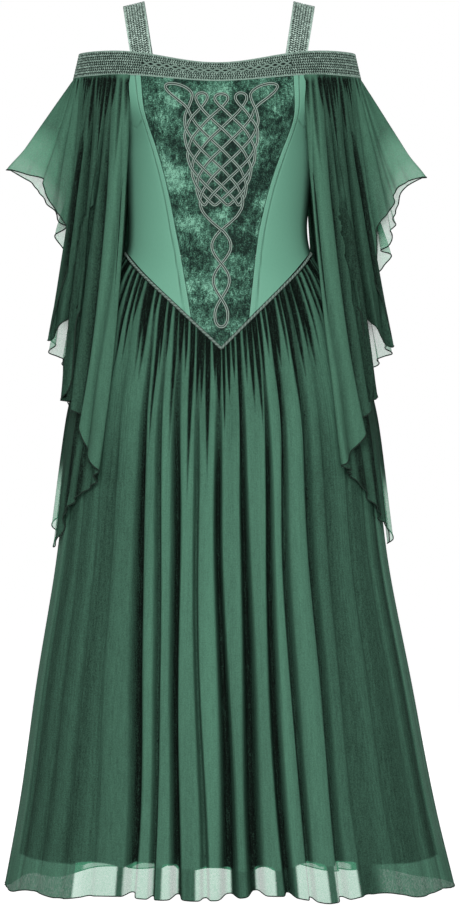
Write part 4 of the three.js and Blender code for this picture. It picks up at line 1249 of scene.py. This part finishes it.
def turn_back(before, after, pull):
    """A rounded turn that leaves one run and enters the next, each in its own direction."""
    leave, enter = before[-1] - before[-2], after[1] - after[0]
    leave, enter = leave / np.hypot(*leave[:2]), enter / np.hypot(*enter[:2])
    t = np.linspace(0, 1, 9)[1:-1, None]
    push = pull * t * (1 - t)
    places = blend(before[-1], after[0], t * t * (3 - 2 * t)) + push * ((1 - t) * leave - t * enter)
    places[:, 2] = 0
    return places


def smooth_loop(points, pieces):
    """A closed path through points with several steps between each two."""
    points = np.asarray(points, float)
    out = []
    for n in range(len(points)):
        a, b, c, d = (points[(n + k) % len(points)] for k in (-1, 0, 1, 2))
        for i in range(pieces):
            t = i / pieces
            bend = (2 * a - 5 * b + 4 * c - d) * t**2
            twist = (3 * b - a - 3 * c + d) * t**3
            out.append(0.5 * (2 * b + (c - a) * t + bend + twist))
    return np.array(out)


def even_path(path, step):
    """The same closed path with points a steady step apart."""
    ring = np.vstack([path, path[:1]])
    lengths = lengths_along(ring[:, :2])
    spots = np.linspace(0, lengths[-1], int(lengths[-1] / step), endpoint=False)
    return rows_at(ring, lengths, spots)


class GOWN_OT_knot(Operator):
    """Plait of twin cord sewn on the velvet"""

    bl_idname = "gown.knot"
    bl_label = "Plaited cord"

    def execute(self, context):
        first, ear, last, side = (KNOT[key + "_turn"] for key in ("first", "ear", "last", "side"))
        right_ear = np.stack([KNOT_EAR[key] for key in ("x", "level", "lift")], -1)
        left_ear = right_ear[::-1] * np.array([-1, 1, -1])
        runs = [
            (strand_run(0, ear, last), "joint"),
            (strand_run(8, last, first), "arch"),
            (strand_run(1, first, last), "joint"),
            (strand_run(7, last, first), "arch"),
            (strand_run(2, first, last), "joint"),
            (strand_run(6, last, first), "arch"),
            (strand_run(3, first, last), "joint"),
            (strand_run(5, last, ear), left_ear),
            (np.vstack([strand_run(4, first, side), chain_run(1)]), "tip"),
            (np.vstack([chain_run(-1)[::-1], strand_run(9, side, first)]), right_ear),
        ]
        places = []
        for n, (run, turn) in enumerate(runs):
            following = runs[(n + 1) % len(runs)][0]
            if isinstance(turn, np.ndarray):
                between = turn
            elif turn == "joint":
                between = (run[-1] + following[0]) / 2 + np.array([[0, -5.5, 0]])
            else:
                between = turn_back(run, following, KNOT[turn + "_pull"])
            places += [run, between]
        places = np.vstack(places)
        path = even_path(smooth_loop(places, 3), 1.8)
        x, level, lift = path[:, 0] + KNOT["centre"], path[:, 1], path[:, 2]
        ring = ring_at(level)
        angle = np.arcsin((x - ring["shift"]) / ring["half"])
        ups = oval_normal(ring, angle)
        middle = torso_point(angle, level, 2.7 + lift)
        along = unit(np.roll(middle, -1, 0) - np.roll(middle, 1, 0))
        across = unit(np.cross(along, ups))
        parts = []
        for way in (-1, 1):
            strand = middle + across * way * 1.45
            parts.append(cord_part(strand, ups, 0.75, 0.8, sides=5, closed=True, tone=1.0))
        # A wide flat strip in the dark tone under the twin cords: a painted shadow round them.
        shadow_bed = torso_point(angle, level, 1.9 + 0.95 * lift)
        parts.append(cord_part(shadow_bed, ups, 2.7, 0.6, sides=5, closed=True, tone=0.0))
        piece = joined_piece("plaited_cord", parts, MATERIALS["cord"])
        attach(piece, "root")
        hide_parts("knot_cord")
        return {"FINISHED"}


# ---- Stage ----
CAMERA_AWAY = 5400
VIEW_TALL = 1456  # height that the camera sees at the gown's middle
SENSOR = 24


class GOWN_OT_stage(Operator):
    """Pale floor, soft studio light and a camera level with the middle of the gown"""

    bl_idname = "gown.stage"
    bl_label = "Stage"

    def execute(self, context):
        bpy.ops.mesh.primitive_plane_add(size=60, location=(0, 0, -1.45))
        floor = context.object
        floor.name = "floor"
        shader = Shader("pale floor", roughness=0.9, specular=0.0)
        shader.set("Base Color", (0.3, 0.3, 0.3, 1))
        shader.set("Emission Color", (1, 1, 1, 1))
        shader.set("Emission Strength", 1.0)
        floor.data.materials.append(shader.material)
        floor.visible_diffuse = False
        world = bpy.data.worlds.new("studio")
        context.scene.world = world
        world.use_nodes = True
        background = world.node_tree.nodes["Background"]
        background.inputs["Color"].default_value = (1, 1, 1, 1)
        background.inputs["Strength"].default_value = 1.0
        world.cycles_visibility.diffuse = False
        world.cycles_visibility.glossy = False
        lights = (
            ("key light", (-0.3, -3.2, 0.45), (72, 0, -5), 1.2, 66),
            ("fill light", (0.35, -4.3, -0.66), (90, 0, 5), 1.6, 84),
            ("back light", (0.0, 3.6, 0.5), (-74, 0, 0), 1.6, 70),
            ("left light", (-3.4, -0.6, -0.4), (90, 0, -80), 1.6, 20),
            ("right light", (3.4, -0.6, -0.4), (90, 0, 80), 1.6, 20),
        )
        for name, location, tilt, size, power in lights:
            turn = [math.radians(angle) for angle in tilt]
            bpy.ops.object.light_add(type="AREA", location=location, rotation=turn)
            light = context.object
            light.name = name
            light.data.shape = "DISK"
            light.data.size = size
            light.data.energy = power
        place = (0.0176, -CAMERA_AWAY * MM, -0.72)
        bpy.ops.object.camera_add(location=place, rotation=(math.radians(90), 0, 0))
        camera = context.object
        camera.data.sensor_fit = "VERTICAL"
        camera.data.sensor_height = SENSOR
        camera.data.lens = SENSOR * CAMERA_AWAY / VIEW_TALL
        camera.data.clip_end = 200
        context.scene.camera = camera
        context.scene.view_settings.view_transform = "Standard"
        return {"FINISHED"}


# ---- Add-on ----
class GownSettings(PropertyGroup):
    fold_depth: FloatProperty(
        name="Fold depth",
        description="Depth of the skirt's long folds",
        default=0.034,
        unit="LENGTH",
    )
    gather_depth: FloatProperty(
        name="Gather depth",
        description="Depth of the small gathers at a seam",
        default=0.0042,
        unit="LENGTH",
    )
    hem_wave: FloatProperty(
        name="Hem wave",
        description="How far the hem rises in a valley",
        default=0.008,
        unit="LENGTH",
    )
    sleeve_fold: FloatProperty(
        name="Sleeve folds",
        description="Share of the sleeve folds' full depth",
        default=1.0,
    )
    sleeve_hug: FloatProperty(
        name="Sleeve hug",
        description="How far the sleeve's inner edge bows towards the body",
        default=0.012,
        unit="LENGTH",
    )
    gathers_front: IntProperty(
        name="Front gathers",
        description="Gathers along the front waist seam",
        default=48,
    )
    gathers_back: IntProperty(
        name="Back gathers",
        description="Gathers along the back waist seam",
        default=44,
    )
    skirt_columns: IntProperty(
        name="Skirt columns",
        description="Steps of the mesh along the waist seam",
        default=520,
    )
    skirt_rows: IntProperty(
        name="Skirt rows",
        description="Steps of the mesh from waist to hem",
        default=150,
    )
    sleeve_columns: IntProperty(
        name="Sleeve columns",
        description="Steps of the mesh round a sleeve",
        default=620,
    )
    sleeve_rows: IntProperty(
        name="Sleeve rows",
        description="Steps of the mesh down a sleeve",
        default=90,
    )


class GOWN_PT_panel(Panel):
    bl_label = "Elf Gown"
    bl_idname = "GOWN_PT_panel"
    bl_space_type = "VIEW_3D"
    bl_region_type = "UI"
    bl_category = "Gown"

    def draw(self, context):
        settings = context.scene.gown
        for name in GownSettings.__annotations__:
            self.layout.prop(settings, name)
        for operator in OPERATORS:
            self.layout.operator(operator.bl_idname)


OPERATORS = (
    GOWN_OT_skirt,
    GOWN_OT_sleeves,
    GOWN_OT_bodice,
    GOWN_OT_piping,
    GOWN_OT_neckband,
    GOWN_OT_straps,
    GOWN_OT_knot,
    GOWN_OT_stage,
)


def register():
    for made in (GownSettings, *OPERATORS, GOWN_PT_panel):
        bpy.utils.register_class(made)
    bpy.types.Scene.gown = PointerProperty(type=GownSettings)


def unregister():
    del bpy.types.Scene.gown
    for made in (GOWN_PT_panel, *reversed(OPERATORS), GownSettings):
        bpy.utils.unregister_class(made)


def main():
    bpy.ops.object.select_all(action="DESELECT")
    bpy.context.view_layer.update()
    register()
    make_materials()
    bpy.ops.gown.skirt()
    bpy.ops.gown.sleeves()
    bpy.ops.gown.bodice()
    bpy.ops.gown.piping()
    bpy.ops.gown.neckband()
    bpy.ops.gown.straps()
    bpy.ops.gown.knot()
    bpy.ops.gown.stage()


if __name__ == "__main__":
    main()
